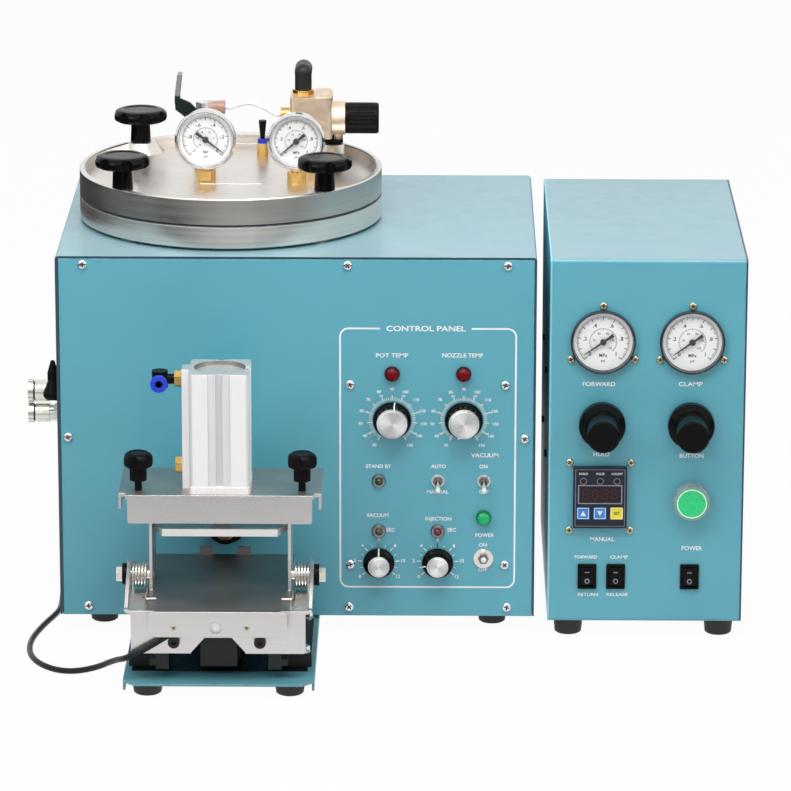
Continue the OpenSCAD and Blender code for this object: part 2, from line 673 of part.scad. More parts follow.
module hex(p, r, h) translate(p) cylinder(r = r, h = h, $fn = 6);

module lid_fittings() {
  color(brass) {
    for (p = gauge_at) hex([p.x, p.y, tray_z], 8, 10);
    difference() {
      union() {
        hex([valve_at.x, valve_at.y, tray_z], 9, 12);
        translate([valve_at.x, valve_at.y, tray_z + 12]) cylinder(r = 8, h = 34);
        translate([valve_at.x, valve_at.y, valve_z]) sphere(r = 11.5);
        along_y([valve_at.x, valve_at.y - 18, valve_z], 4, 18);
      }
      translate([valve_at.x, valve_at.y, tray_z + 5]) cylinder(r = 3.5, h = 40);
    }
    translate([reg_at.x, reg_at.y, tray_z]) cylinder(r = 7, h = reg_z - tray_z);
    hex([reg_at.x - 7, reg_at.y, reg_z + reg_w], 9, 4);
    along_x([reg_at.x - reg_w / 2 - 8.5, reg_at.y, tube_route[len(tube_route) - 1].z], 6, 8.5);
    hex([plug_at.x, plug_at.y, tray_z], 5, 11);
  }
  color(black) {
    translate([reg_at.x - 7, reg_at.y, reg_z + reg_w + 4]) {
      cylinder(r = 7.2, h = 16);
      translate([0, 0, 15]) sphere(r = 7.4);
      along_y([0, 0, 15], 7.4, 18);
    }
    translate([plug_at.x, plug_at.y, tray_z + 11]) {
      cylinder(r = 4.4, h = 4);
      translate([0, 0, 4]) cylinder(r1 = 2, r2 = 3.4, h = 16);
    }
    difference() {
      union() {
        translate([valve_at.x, valve_at.y, tray_z + 46]) cylinder(r = 7, h = 9);
        along_x([valve_at.x, valve_at.y, tube_route[0].z], 6, tube_route[0].x - valve_at.x);
      }
      translate([valve_at.x, valve_at.y, tray_z + 45]) cylinder(r = 2, h = 5);
    }
  }
}

// Cranked strip handle with a plastic sleeve, upright at rest, on the valve's stem
lever_y = valve_at.y - 12.5;
module ball_valve_lever() color([0.08, 0.16, 0.14]) translate([valve_at.x, lever_y, valve_z]) difference() {
  union() {
    on_front([0, 0, 0]) linear_extrude(3) {
      circle(8);
      polygon([[2, 7], [-11, 21], [-24.5, 27], [-24, 15], [-17.5, 10], [-7.5, 0]]);
    }
    translate([0, 11, 0]) on_front([0, 0, 0]) linear_extrude(14)
      polygon([[-24.5, 20], [-24.5, 27], [-22.2, 45], [-19.4, 45.6], [-18.2, 44], [-20.2, 26], [-20.2, 20]]);
  }
  on_front([0, 1, 0]) cylinder(r = 4 + run_gap, h = 5);
}

module lid_tube() color([0.93, 0.94, 0.94]) tube(tube_route, tube_d, 8, [0, 1, 0]);

// Clamp: base plate with folded sides, rails, carriage, sprung mould table with its head

module clamp_base() color(teal) difference() {
  union() {
    translate([line_x, 0, plate_top - plate_t]) linear_extrude(plate_t) polygon([
      [-base_w / 2, base_back], [base_w / 2, base_back], [base_w / 2, -base_front + 10],
      [base_w / 2 - 10, -base_front], [-base_w / 2 + 10, -base_front], [-base_w / 2, -base_front + 10]
    ]);
    for (s = [-1, 1])
      translate([line_x + s * (base_w / 2 - plate_t / 2) - plate_t / 2, -base_front + 11, plate_top - 9])
        cube([plate_t, base_front + base_back - 11, 8]);
  }
  for (s = [-1, 1])
    translate([line_x + s * 58 - 3, -153.5, plate_top - 2 * plate_t]) cube([6, 2.5, 3 * plate_t]);
  for (p = base_bolts) translate([p.x, p.y, plate_top - 2 * plate_t]) cylinder(r = screw_r + hole_gap, h = 4 * plate_t);
}

// Rail: a foot strip and a wall with a groove on its inner side
rail_wall = 12;
rail_top = 18;
groove_z = [8, 14];
groove_d = 5;
module rail_profile() polygon([
  [rail_in, plate_top], [rail_in + rail_wall + 11.5, plate_top], [rail_in + rail_wall + 11.5, 8.5],
  [rail_in + rail_wall, 8.5], [rail_in + rail_wall, rail_top], [rail_in, rail_top], [rail_in, groove_z[1]],
  [rail_in + groove_d, groove_z[1]], [rail_in + groove_d, groove_z[0]], [rail_in, groove_z[0]]
]);

module slide_unit() {
  color(black) {
    for (s = [0, 1])
      translate([line_x, -rail_back, 0]) mirror([s, 0, 0]) on_front([0, 0, 0])
        linear_extrude(rail_front - rail_back) rail_profile();
    difference() {
      translate([line_x, -112, plate_top]) rotate([-90, 0, 0]) translate([0, -15, 0])
        linear_extrude(72) round_rect(34, 30, 5);
      along_y([line_x, -113, push_rod_z], push_rod_r + run_gap, 66);
    }
  }
  for (s = [-1, 1], y = [-rail_front + 6, -rail_back - 6])
    color(steel_grey) translate([line_x + s * (rail_in + rail_wall + 5.7), y, 8.5]) {
      cylinder(r = 5, h = 1);
      translate([0, 0, 1]) cylinder(r = 4.2, h = 4, $fn = 6);
    }
}

// Carriage: U bracket with tapered ears and a notched front flange
ear_foot = [-156, floor_top + 1];
ear_span = norm(ear_foot - [pivot_y, pivot_z]);
ear_turn = atan2(ear_foot.y - pivot_z, ear_foot.x - pivot_y) - acos(ear_r / ear_span);
module ear_side() {
  polygon([
    ear_foot, [pivot_y, pivot_z] + ear_r * [cos(ear_turn), sin(ear_turn)], [pivot_y, pivot_z],
    [pivot_y + ear_r, pivot_z], [-floor_back, floor_top + 1], [-floor_back, floor_top - steel],
    [-flange_front, floor_top - steel], [-flange_front, floor_top + 1]
  ]);
  translate([pivot_y, pivot_z]) circle(ear_r);
}

module carriage() color(steel_grey) difference() {
  union() {
    intersection() {
      on_front([line_x, -floor_back, floor_top - steel]) linear_extrude(flange_front - floor_back) difference() {
        translate([-ear_out, 60]) mirror([0, 1]) arch(2 * ear_out, 60, ear_t + 1);
        translate([-ear_out + ear_t, 61]) mirror([0, 1]) arch(2 * (ear_out - ear_t), 61 - steel, 1);
      }
      translate([line_x - ear_out - 1, 0, 0]) rotate([90, 0, 90]) linear_extrude(2 * ear_out + 2) ear_side();
    }
    on_front([line_x, -flange_front + steel, 0]) linear_extrude(steel)
      translate([0, (floor_top + 20) / 2]) round_rect(142, floor_top - 20, 2);
  }
  on_front([line_x, -flange_front + 2 * steel, 0]) linear_extrude(3 * steel)
    polygon([[-22, 19], [22, 19], [22, 21], [11, 33.5], [-11, 33.5], [-22, 21]]);
  along_x([line_x - ear_out - 1, pivot_y, pivot_z], pivot_r + hole_gap, 2 * ear_out + 2);
}

// Slide blocks with tongues in the rails, push-rod lug and the flange's cap screws
slide_len = flange_front - steel - floor_back - 4;
tongue = 5;
module carriage_slides() color(black) {
  for (s = [0, 1])
    translate([line_x, -floor_back - 2, 0]) mirror([s, 0, 0]) on_front([0, 0, 0]) linear_extrude(slide_len) polygon([
      [rail_in - 11, 5], [rail_in - slide_gap, 5], [rail_in - slide_gap, groove_z[0] + slide_gap],
      [rail_in + groove_d - slide_gap, groove_z[0] + slide_gap],
      [rail_in + groove_d - slide_gap, groove_z[1] - slide_gap], [rail_in - slide_gap, groove_z[1] - slide_gap],
      [rail_in - slide_gap, floor_top - steel], [rail_in - 11, floor_top - steel]
    ]);
  translate([line_x - 15, -152, push_rod_z - 8]) cube([30, 6, floor_top - steel - push_rod_z + 8]);
  along_y([line_x, -147, push_rod_z], push_rod_r, 77);
  for (x = [-36, 34])
    on_front([line_x + x, -flange_front, 30.5]) difference() {
      cylinder(r = 4.8, h = 4.5);
      translate([0, 0, 2]) cylinder(r = 2.4, h = 3, $fn = 6);
    }
}

// Shoulder bolts through the ears into the arms, with black bushes under their heads
module pivot_bolts() for (s = [0, 1]) translate([line_x, pivot_y, pivot_z]) mirror([s, 0, 0]) {
  color(steel_grey) {
    along_x([arm_out - steel + hole_gap, 0, 0], pivot_r, ear_out + bush_t - arm_out + steel - hole_gap);
    translate([ear_out + bush_t, 0, 0]) rotate([0, 90, 0]) cylinder(r = 6.2, h = 5, $fn = 6);
  }
  color(black) difference() {
    along_x([ear_out, 0, 0], 9, bush_t);
    along_x([ear_out - 1, 0, 0], pivot_r + hole_gap, bush_t + 2);
  }
}

// Torsion spring on the right pivot: a leg up from the carriage floor, the coil, a leg forward over the table's edge
coil_x = ear_out - ear_t - wire_d / 2 - 0.5;
foot_z = table_z + wire_d / 2 + slide_gap;
foot_turn = 360 + atan2(foot_z - pivot_z, foot_y - pivot_y);
foot_far = norm([foot_y - pivot_y, foot_z - pivot_z]);
leave_turn = foot_turn + acos(coil_r / foot_far);
coil_sweep = 180 - leave_turn + 360 * (floor(coil_turns) + 1);
function coil_point(k) =
  let (a = 180 - coil_sweep * k, x = coil_x - coil_pitch * coil_sweep / 360 * k)
  [x, pivot_y + coil_r * cos(a), pivot_z + coil_r * sin(a)];
coil_rings = round(8 * coil_sweep / 360);
leg_x = coil_point(1).x;
leg_start = coil_point(1);
spring_route = concat(
  [for (z = [floor_top + slide_gap, floor_top + slide_gap + wire_d, pivot_z - 3]) [coil_x, pivot_y - coil_r, z]],
  [for (i = [0 : coil_rings]) coil_point(i / coil_rings)],
  [for (f = [0.35, 0.7]) leg_start + f * ([leg_x, foot_y + 3, foot_z] - leg_start)],
  [[leg_x, foot_y + 3, foot_z], [leg_x - 0.9, foot_y + 0.9, foot_z], [leg_x - 3, foot_y, foot_z],
   [leg_x - 6, foot_y, foot_z], [leg_x - 9, foot_y, foot_z]]
);
echo("least gap in a torsion spring", self_gap(spring_route, wire_d, 6));

module torsion_springs() color(steel_grey) for (s = [0, 1])
  translate([line_x, 0, 0]) mirror([s, 0, 0]) tube(spring_route, wire_d, 6, [1, 0, 0]);

// Lamp housing on the carriage flange, its lens behind the hole in the table's flange
module table_lamp() {
  color(black) translate([lamp_x - 12, -flange_front - 6, lamp_z - 8]) cube([22, 6, 15]);
  color("white") on_front([lamp_x, -flange_front - 6, lamp_z]) rotate_extrude()
    polygon([[0, 0], [4.4, 0], [4.4, 1.2], [3, 1.9], [0, 2.1]]);
}

// Mould table and its two arms, one bent sheet; stops at the back, tabs at the top
arm_front = 113;
arm_back = 45;
tab_w = 18;
arm_top = head_top - head_t;
module mould_table() color(steel_grey) difference() {
  translate([line_x, 0, 0]) {
    translate([-table_w / 2, -table_reach + steel, table_z - steel])
      cube([table_w, table_reach - steel - table_back, steel]);
    on_front([0, -table_reach + steel, 0]) linear_extrude(steel)
      translate([0, (table_z + lamp_z - 8) / 2]) difference() {
        round_rect(table_w - 3, table_z - lamp_z + 8, 7);
        translate([0, (table_z - lamp_z + 8) / 2]) square([table_w, 0.01], center = true);
      }
    translate([-table_w / 2 + 1.5, -table_reach, table_z - 9]) cube([table_w - 3, steel, 9 - 0.4]);
    for (s = [0, 1]) mirror([s, 0, 0]) {
      translate([arm_out - steel, 0, 0]) rotate([90, 0, 90]) linear_extrude(steel) polygon([
        [-arm_front - 2, table_z - steel], [-60, table_z - steel], [-60, table_z + 20], [-arm_back, table_z + 42],
        [-arm_back, arm_top], [-arm_front, arm_top], [-arm_front - 2, table_z + 20]
      ]);
      translate([arm_out - steel, -arm_front, arm_top - steel]) cube([tab_w, arm_front - arm_back, steel]);
      translate([10.5, -table_back - steel, table_z - steel]) cube([11, steel, 7 + steel]);
    }
  }
  along_x([line_x - arm_out - 1, pivot_y, pivot_z], pivot_r + run_gap, table_w + 2);
  along_y([lamp_x, -table_reach - 1, lamp_z], 5, 2 * steel);
  for (s = [-1, 1])
    translate([line_x + s * knob_out, knob_y, arm_top - 2 * steel]) cylinder(r = head_screw_r + slide_gap, h = 3 * steel);
}

// Head plate: shallow tray, open at the front corners
module head_plate() color(steel_grey) difference() {
  translate([line_x, 0, 0]) {
    translate([-head_w / 2, -head_front, head_top - head_t]) cube([head_w, head_d, head_t]);
    on_front([0, -head_front + steel, 0]) linear_extrude(steel)
      translate([0, head_top - 12]) round_rect(head_w - 15, 22 + 2, 2);
    for (s = [0, 1]) mirror([s, 0, 0])
      translate([head_w / 2 - steel, -head_front + 8, head_top - 14]) cube([steel, head_d - 8, 13]);
  }
  for (s = [-1, 1])
    translate([line_x + s * head_w / 2, -head_front, head_top - 2 * head_t])
      translate([-6, -1, 0]) cube([12, 7, 3 * head_t]);
  translate([line_x, -head_front - 1, head_top]) translate([3 - head_w / 2, 0, 0]) cube([head_w - 6, head_d, 4]);
  translate([line_x, rod_y, head_top - 2 * head_t]) cylinder(r = rod_r + 1, h = 3 * head_t);
  for (s = [-1, 1])
    translate([line_x + s * knob_out, knob_y, head_top - 2 * head_t])
      cylinder(r = head_screw_r + slide_gap, h = 3 * head_t);
}

// Square cylinder: extruded body with grooved faces, foot block, sunk top, port bar on the left
cyl_foot = 6;
port_bar = [6, 16];
module air_cylinder() color([0.85, 0.86, 0.87]) difference() {
  translate([line_x, rod_y, head_top]) {
    linear_extrude(cyl_foot) round_rect(cyl_w, cyl_w, 3);
    translate([0, 0, cyl_foot]) linear_extrude(cyl_h - cyl_foot) difference() {
      round_rect(cyl_w - 0.6, cyl_w - 0.6, 4);
      for (a = [0, 90, 180]) rotate([0, 0, a]) {
        translate([-9, -cyl_w / 2 - 1]) square([18, 2.2]);
        translate([-2.6, -cyl_w / 2 - 1]) square([5.2, 4.6]);
      }
    }
    translate([-cyl_w / 2 - port_bar.x, -port_bar.y / 2, 0]) cube([port_bar.x + 1, port_bar.y, cyl_h]);
  }
  translate([line_x, rod_y, head_top - 1]) cylinder(r = rod_r + run_gap, h = cyl_foot + 5);
  translate([line_x, rod_y, head_top + 9]) cylinder(r = cyl_bore / 2, h = cyl_h - 9 - 10);
  translate([line_x, rod_y, head_top + cyl_h - 4]) cylinder(r = 21, h = 5);
  for (z = [18, cyl_h - 10])
    along_x([line_x - cyl_w / 2 - port_bar.x - 1, rod_y, head_top + z], 3, port_bar.x + 4);
}

// Brass port bushes, one of them with a push-in elbow that faces forward
module cylinder_fittings() translate([line_x - cyl_w / 2 - port_bar.x, rod_y, head_top]) {
  color(brass) for (z = [18, cyl_h - 10])
    difference() {
      translate([-6, 0, z]) rotate([0, 90, 0]) cylinder(r = 7, h = 6, $fn = 6);
      along_x([-7, 0, z], 3, 8);
    }
  color(black) translate([-18, 0, cyl_h - 10]) difference() {
    union() {
      along_x([0, 0, 0], 4.2, 12);
      translate([0, 0, -7]) cylinder(r = 6.6, h = 14);
      along_y([0, -15, 0], 4.6, 15);
      along_y([0, -18, 0], 7, 3);
    }
    along_y([0, -19, 0], 3, 14);
  }
}

// Press plate with its rod and piston
press_w = table_w - 2 * steel - 1;
press_front = 116;
press_back = 52;
cut = [8, 19];
module press_plate() color(steel_grey) {
  translate([line_x, 0, press_bottom]) linear_extrude(press_t) polygon([
    [-press_w / 2 + cut.x, -press_front], [press_w / 2 - cut.x, -press_front], [press_w / 2, -press_front + cut.y],
    [press_w / 2, -press_back], [-press_w / 2, -press_back], [-press_w / 2, -press_front + cut.y]
  ]);
  translate([line_x, rod_y, press_bottom + press_t - 0.5]) {
    cylinder(r = rod_r, h = head_top + cyl_h - 30 - press_bottom - press_t);
    translate([0, 0, head_top + cyl_h - 40 - press_bottom - press_t]) cylinder(r = cyl_bore / 2 - run_gap, h = 10);
  }
}

// Small star knobs that clamp the head plate to the arms' tabs
module head_knob(s) color(black) translate([line_x + s * knob_out, knob_y, head_top]) {
  translate([0, 0, -head_t - steel - 4]) cylinder(r = head_screw_r, h = head_t + steel + 13);
  translate([0, 0, 8.5]) difference() {
    cylinder(r = 7, h = 11.5);
    for (k = [0 : 11]) rotate([0, 0, 30 * k]) translate([7.5, 0, -1]) cylinder(r = 1, h = 12);
  }
  translate([0, 0, 19.5]) star_grip(12.2, 12.5, 5, 5, 2.2);
}

module sensor_cord() color(black) tube(cord_route, cord_d, 8, [0, 0, 1]);

// Control box: folded shell, side covers, gauges, regulators, timer, switches

module box_shell() color(teal) difference() {
  translate([box_x + sheet, box_y, 0]) rotate([90, 0, 90]) linear_extrude(box_w - 2 * sheet) difference() {
    translate([box_d / 2, box_h / 2]) round_rect(box_d, box_h, 3);
    translate([box_d / 2, box_h / 2]) round_rect(box_d - 2 * sheet, box_h - 2 * sheet, 3 - sheet);
  }
  for (x = gauge_cols) {
    along_y([x, box_y - 1, box_gauge_z], box_gauge_d / 2 - 2.5, sheet + 2);
    along_y([x, box_y - 1, box_knob_z], 9 + hole_gap, sheet + 2);
    for (a = [90, 210, 330])
      along_y([x + gauge_screw_r * cos(a), box_y - 1, box_gauge_z + gauge_screw_r * sin(a)], screw_r + hole_gap, sheet + 2);
  }
  for (x = [-1, 1], z = [-1, 1])
    along_y([timer_at.x + x * (timer_size.x / 2 + 3), box_y - 1, timer_at.y + z * (timer_size.y / 2 + 3)],
      screw_r + hole_gap, sheet + 2);
  along_y([button_at.x, box_y - 1, button_at.y], 11 + hole_gap, sheet + 2);
  on_front([timer_at.x, box_y + 2 * sheet, timer_at.y]) linear_extrude(3 * sheet)
    square(timer_size - [2, 2], center = true);
  for (p = rocker_at)
    on_front([p.x, box_y + 2 * sheet, p.y]) linear_extrude(3 * sheet) square(rocker_size - [2, 2], center = true);
}

module box_sides() color(teal) for (x = [box_x, box_x + box_w - sheet])
  translate([x, box_y, 0]) rotate([90, 0, 90]) linear_extrude(sheet) difference() {
    translate([box_d / 2, box_h / 2]) round_rect(box_d, box_h, 3);
    for (p = side_screws) translate(p) circle(screw_r + hole_gap);
  }

module box_gauges() color([0.15, 0.17, 0.2]) for (x = gauge_cols)
  on_front([x, box_y, box_gauge_z]) difference() {
    rotate_extrude() polygon([
      [0, -30], [box_gauge_d / 2 - 6, -30], [box_gauge_d / 2 - 3, -28], [box_gauge_d / 2 - 3, 0],
      [box_gauge_d / 2, 0], [box_gauge_d / 2, 4], [box_gauge_d / 2 - 0.8, 5], [box_gauge_d / 2 - 1.6, 5],
      [box_gauge_d / 2 - 2.2, 0.5], [0, 0.5]
    ]);
    translate([0, 0, -4]) cylinder(r = 1 + run_gap, h = 8);
  }

module box_needle(k) on_front([gauge_cols[k], box_y - 5.5, box_gauge_z]) gauge_needle(box_gauge_d, box_needle_rest);

// Regulator bodies behind the front, each with a threaded neck through it
module box_regulators() color([0.75, 0.75, 0.76]) for (x = gauge_cols)
  on_front([x, box_y, box_knob_z]) difference() {
    union() {
      translate([0, 0, -sheet - 55]) linear_extrude(55) round_rect(40, 40, 5);
      translate([0, 0, -sheet - 1]) cylinder(r = 9, h = sheet + 6);
    }
    translate([0, 0, -40]) cylinder(r = push_rod_r + run_gap, h = 60);
  }

// Regulator knob: wide skirt, necked grip with a flared nose
module box_knob(k) color(black) on_front([gauge_cols[k], box_y, box_knob_z]) {
  difference() {
    rotate_extrude() polygon([
      [0, 0.5], [18.6, 0.5], [19.4, 1.5], [19.4, 8.5], [18.4, 10], [15.4, 11], [14.2, 13], [13.2, 30],
      [13.2, 33], [13.6, 34.5], [13.6, 40.5], [12.4, 42], [0, 42]
    ]);
    translate([0, 0, -1]) cylinder(r = 9.5, h = 6.5);
  }
  translate([0, 0, -30]) cylinder(r = push_rod_r, h = 40);
}

// Timer case, push-button collar and rocker frames
module box_modules() color(black) {
  on_front([timer_at.x, box_y, timer_at.y]) difference() {
    union() {
      linear_extrude(5) round_rect(timer_size.x, timer_size.y, 1.5);
      translate([0, 0, -45]) linear_extrude(46) square(timer_size - [3, 3], center = true);
      for (k = [-1, 0, 1]) translate([14 * k, -13.4, 5]) linear_extrude(0.5) round_rect(10.6, 10.4, 1);
    }
    translate([0, 3, 4.2]) linear_extrude(2) square([35, 14.5], center = true);
    for (k = [-1, 0, 1]) translate([14 * k, 14.5, 4]) cylinder(r = 2, h = 2);
  }
  on_front([button_at.x, box_y, button_at.y]) difference() {
    union() {
      rotate_extrude() polygon([[0, 0], [15.2, 0], [15.2, 2], [14.8, 10.4], [14.4, 11], [0, 11]]);
      translate([0, 0, -25]) cylinder(r = 11, h = 26);
    }
    translate([0, 0, 3]) cylinder(r = button_r + slide_gap, h = 10);
    translate([0, 0, -20]) cylinder(r = 3 + run_gap, h = 25);
  }
  for (p = rocker_at)
    on_front([p.x, box_y, p.y]) difference() {
      union() {
        linear_extrude(2) round_rect(rocker_size.x, rocker_size.y, 0.8);
        translate([0, 0, -16]) linear_extrude(17) square(rocker_size - [2.4, 2.4], center = true);
      }
      translate([0, 0, -8]) linear_extrude(12) square([11.2, 17.4], center = true);
      translate([-7.2, 0, -1]) rotate([0, 90, 0]) cylinder(r = 1 + run_gap, h = 14.4);
    }
}

module start_button() color([0.1, 0.75, 0.4]) on_front([button_at.x, box_y, button_at.y]) {
  translate([0, 0, 3.6 + button_travel]) rotate_extrude()
    polygon([[0, 0], [button_r, 0], [button_r, 3.2], [button_r - 0.6, 3.8], [0, 3.8]]);
  translate([0, 0, -14]) cylinder(r = 3, h = 22);
}

// Rocker: two flats in a shallow V, round at its ends about its axle, lower end pressed in at rest
module rocker(k) color(black)
  on_front([rocker_at[k].x, box_y, rocker_at[k].y]) translate([0, 0, -1]) rotate([-rocker_lean, 0, 0]) {
    translate([-5.3, 0, 0]) rotate([90, 0, 90]) linear_extrude(10.6) intersection() {
      polygon([[-9, -3], [9, -3], [9, 5.4], [0, 3.4], [-9, 5.4]]);
      circle(8.4);
    }
    translate([-6.4, 0, 0]) rotate([0, 90, 0]) cylinder(r = 1, h = 12.8);
  }

// Drawing
placed() cabinet_cover();
placed() front_panel();
placed() chassis();
placed() rubber_feet();
placed() panel_screws();
placed() wax_pot();
placed() heater_band();
placed() nozzle_block();
placed() nozzle_tip();
placed() control_gear();
placed() side_fittings();
placed() panel_fittings();
placed() pot_temp_knob();
placed() nozzle_temp_knob();
placed() vacuum_time_knob();
placed() inject_time_knob();
placed() toggle(0);  // mode_toggle
placed() toggle(1);  // vacuum_toggle
placed() toggle(2);  // power_toggle
placed() lid();
for (k = [0 : 3])
  placed() lid_knob(k);
placed() lid_gauges();
placed() lid_needle(0);  // vacuum_needle
placed() lid_needle(1);  // pressure_needle
placed() lid_regulator();
placed() lid_regulator_knob();
placed() lid_fittings();
placed() ball_valve_lever();
placed() lid_tube();
placed() clamp_base();
placed() slide_unit();
placed() carriage();
placed() carriage_slides();
placed() pivot_bolts();
placed() torsion_springs();
placed() table_lamp();
placed() mould_table();
placed() head_plate();
placed() air_cylinder();
placed() cylinder_fittings();
placed() press_plate();
placed() head_knob(-1);  // left_head_knob
placed() head_knob(1);  // right_head_knob
placed() sensor_cord();
placed() box_shell();
placed() box_sides();
placed() box_gauges();
placed() box_needle(0);  // forward_needle
placed() box_needle(1);  // clamp_needle
placed() box_regulators();
placed() box_knob(0);  // forward_reg_knob
placed() box_knob(1);  // clamp_reg_knob
placed() box_modules();
placed() start_button();
placed() rocker(0);  // forward_rocker
placed() rocker(1);  // clamp_rocker
placed() rocker(2);  // power_rocker
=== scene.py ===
import bpy
import bmesh
import math
from mathutils import Vector, Matrix


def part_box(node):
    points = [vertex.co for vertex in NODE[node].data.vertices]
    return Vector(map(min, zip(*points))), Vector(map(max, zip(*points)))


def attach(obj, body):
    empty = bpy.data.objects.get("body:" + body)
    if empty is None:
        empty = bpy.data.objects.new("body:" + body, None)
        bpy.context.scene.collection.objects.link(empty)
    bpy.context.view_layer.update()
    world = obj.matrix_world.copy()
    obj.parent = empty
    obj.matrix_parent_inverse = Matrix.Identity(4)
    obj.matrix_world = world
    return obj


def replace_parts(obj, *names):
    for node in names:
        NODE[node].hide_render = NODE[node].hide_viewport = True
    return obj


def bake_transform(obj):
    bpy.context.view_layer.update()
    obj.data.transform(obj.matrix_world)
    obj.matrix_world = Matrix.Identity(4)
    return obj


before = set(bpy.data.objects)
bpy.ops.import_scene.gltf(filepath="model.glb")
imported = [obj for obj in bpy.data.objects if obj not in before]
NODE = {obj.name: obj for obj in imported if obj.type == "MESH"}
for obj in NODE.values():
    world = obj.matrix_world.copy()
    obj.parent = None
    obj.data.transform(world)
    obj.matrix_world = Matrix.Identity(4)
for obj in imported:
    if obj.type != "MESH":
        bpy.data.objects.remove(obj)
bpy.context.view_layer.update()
scene = bpy.context.scene

# Working millimetres: x from the cabinet's left side, y from its front, z from its underside
SHIFT = (274.5, 63.75, -15.0)


def P(x, y, z):
    """A place in working millimetres as metres in the part's frame."""
    return Vector(((x - SHIFT[0]) / 1000, (y - SHIFT[1]) / 1000, (z - SHIFT[2]) / 1000))


# Places that several pieces share: the pot's and clamp's line, the gauges, the control box's front
LINE_X, POT_Y = 140.5, 146
LID_AXIS = P(LINE_X, POT_Y, 0)
VACUUM_GAUGE, PRESSURE_GAUGE = (120.5, 385), (197.5, 385)
BOX_Y = -13
BOX_GAUGES, BOX_GAUGE_Z = {"forward": 455, "clamp": 529}, 244
TIMER_X, TIMER_Z = 454.0, 110.0
KEY_Z = TIMER_Z - 13.4
BUTTON = (530.5, 107)

# Camera on the photograph's viewpoint
PITCH, YAW, ROLL = math.radians(15.689), math.radians(-0.4905), math.radians(0.099)
EYE = P(316.647, -3952.05, 1303.27)
FOCAL_PIXELS, PHOTO_PIXELS, SENSOR_MM = 4918.87, 791, 36
fwd = Vector((math.sin(YAW) * math.cos(PITCH), math.cos(YAW) * math.cos(PITCH), -math.sin(PITCH)))
right = Vector((math.cos(YAW), -math.sin(YAW), 0))
up = right.cross(fwd)
right, up = math.cos(ROLL) * right + math.sin(ROLL) * up, -math.sin(ROLL) * right + math.cos(ROLL) * up
cam_data = bpy.data.cameras.new("camera")
cam = bpy.data.objects.new("camera", cam_data)
scene.collection.objects.link(cam)
cam.matrix_world = Matrix.Translation(EYE) @ Matrix((right, up, -fwd)).transposed().to_4x4()
cam_data.sensor_width = SENSOR_MM
cam_data.lens = FOCAL_PIXELS / PHOTO_PIXELS * SENSOR_MM
cam_data.clip_end = 50
scene.camera = cam


# Shader helpers
class Nodes:
    """A node tree with short names for the nodes used here."""

    def __init__(self, owner, output):
        owner.use_nodes = True
        self.t = owner.node_tree
        self.t.nodes.clear()
        self.out = self.new(output)

    def link(self, a, b):
        self.t.links.new(a, b)

    def new(self, kind, **kw):
        n = self.t.nodes.new(kind)
        for k, v in kw.items():
            setattr(n, k, v)
        return n

    def scaled(self, vec, s):
        n = self.new("ShaderNodeVectorMath", operation="MULTIPLY")
        self.link(vec, n.inputs[0])
        n.inputs[1].default_value = s
        return n.outputs[0]

    def noise(self, vec, scale, detail=3.0, rough=0.55):
        n = self.new("ShaderNodeTexNoise")
        self.link(vec, n.inputs["Vector"])
        n.inputs["Scale"].default_value = scale
        n.inputs["Detail"].default_value = detail
        n.inputs["Roughness"].default_value = rough
        return n.outputs["Fac"]

    def span(self, fac, lo, hi, a=0.3, b=0.7):
        n = self.new("ShaderNodeMapRange")
        self.link(fac, n.inputs["Value"])
        n.inputs["From Min"].default_value = a
        n.inputs["From Max"].default_value = b
        n.inputs["To Min"].default_value = lo
        n.inputs["To Max"].default_value = hi
        return n.outputs[0]

    def mix(self, fac, a, b):
        n = self.new("ShaderNodeMix", data_type="RGBA")
        self.link(fac, n.inputs["Factor"])
        for i, c in ((6, a), (7, b)):
            if isinstance(c, (tuple, list)):
                n.inputs[i].default_value = (*c, 1)
            else:
                self.link(c, n.inputs[i])
        return n.outputs[2]

    def math(self, op, a, b=None):
        n = self.new("ShaderNodeMath", operation=op)
        for i, v in ((0, a), (1, b)):
            if v is None:
                continue
            if isinstance(v, (int, float)):
                n.inputs[i].default_value = v
            else:
                self.link(v, n.inputs[i])
        return n.outputs[0]

    def bump(self, height, strength, distance, normal=None):
        n = self.new("ShaderNodeBump")
        self.link(height, n.inputs["Height"])
        n.inputs["Strength"].default_value = strength
        n.inputs["Distance"].default_value = distance
        if normal is not None:
            self.link(normal, n.inputs["Normal"])
        return n.outputs[0]

    def bevel(self, radius, samples=4):
        n = self.new("ShaderNodeBevel", samples=samples)
        n.inputs["Radius"].default_value = radius
        return n.outputs[0]

    def edge(self, bevelled, lo=0.90, hi=0.99):
        """1 on an edge, 0 on a flat: how far the rounded normal leaves the true one."""
        g = self.new("ShaderNodeNewGeometry")
        d = self.new("ShaderNodeVectorMath", operation="DOT_PRODUCT")
        self.link(bevelled, d.inputs[0])
        self.link(g.outputs["Normal"], d.inputs[1])
        return self.span(d.outputs["Value"], 1.0, 0.0, lo, hi)

    def seen(self):
        """1 for what the eye sees, straight or in a polished face, and 0 for light on its way."""
        lp = self.new("ShaderNodeLightPath")
        straight = self.math("MAXIMUM", lp.outputs["Is Camera Ray"], lp.outputs["Is Glossy Ray"])
        return self.math("MAXIMUM", straight, lp.outputs["Is Transmission Ray"])

    def flat(self, kind, strength):
        """White light of that strength."""
        n = self.new(kind)
        n.inputs[0].default_value = (1, 1, 1, 1)
        n.inputs[1].default_value = strength
        return n.outputs[0]

    def show(self, fac, a, b):
        """Sends a mix of two shaders to the output."""
        n = self.new("ShaderNodeMixShader")
        for i, v in enumerate((fac, a, b)):
            self.link(v, n.inputs[i])
        self.link(n.outputs[0], self.out.inputs[0])


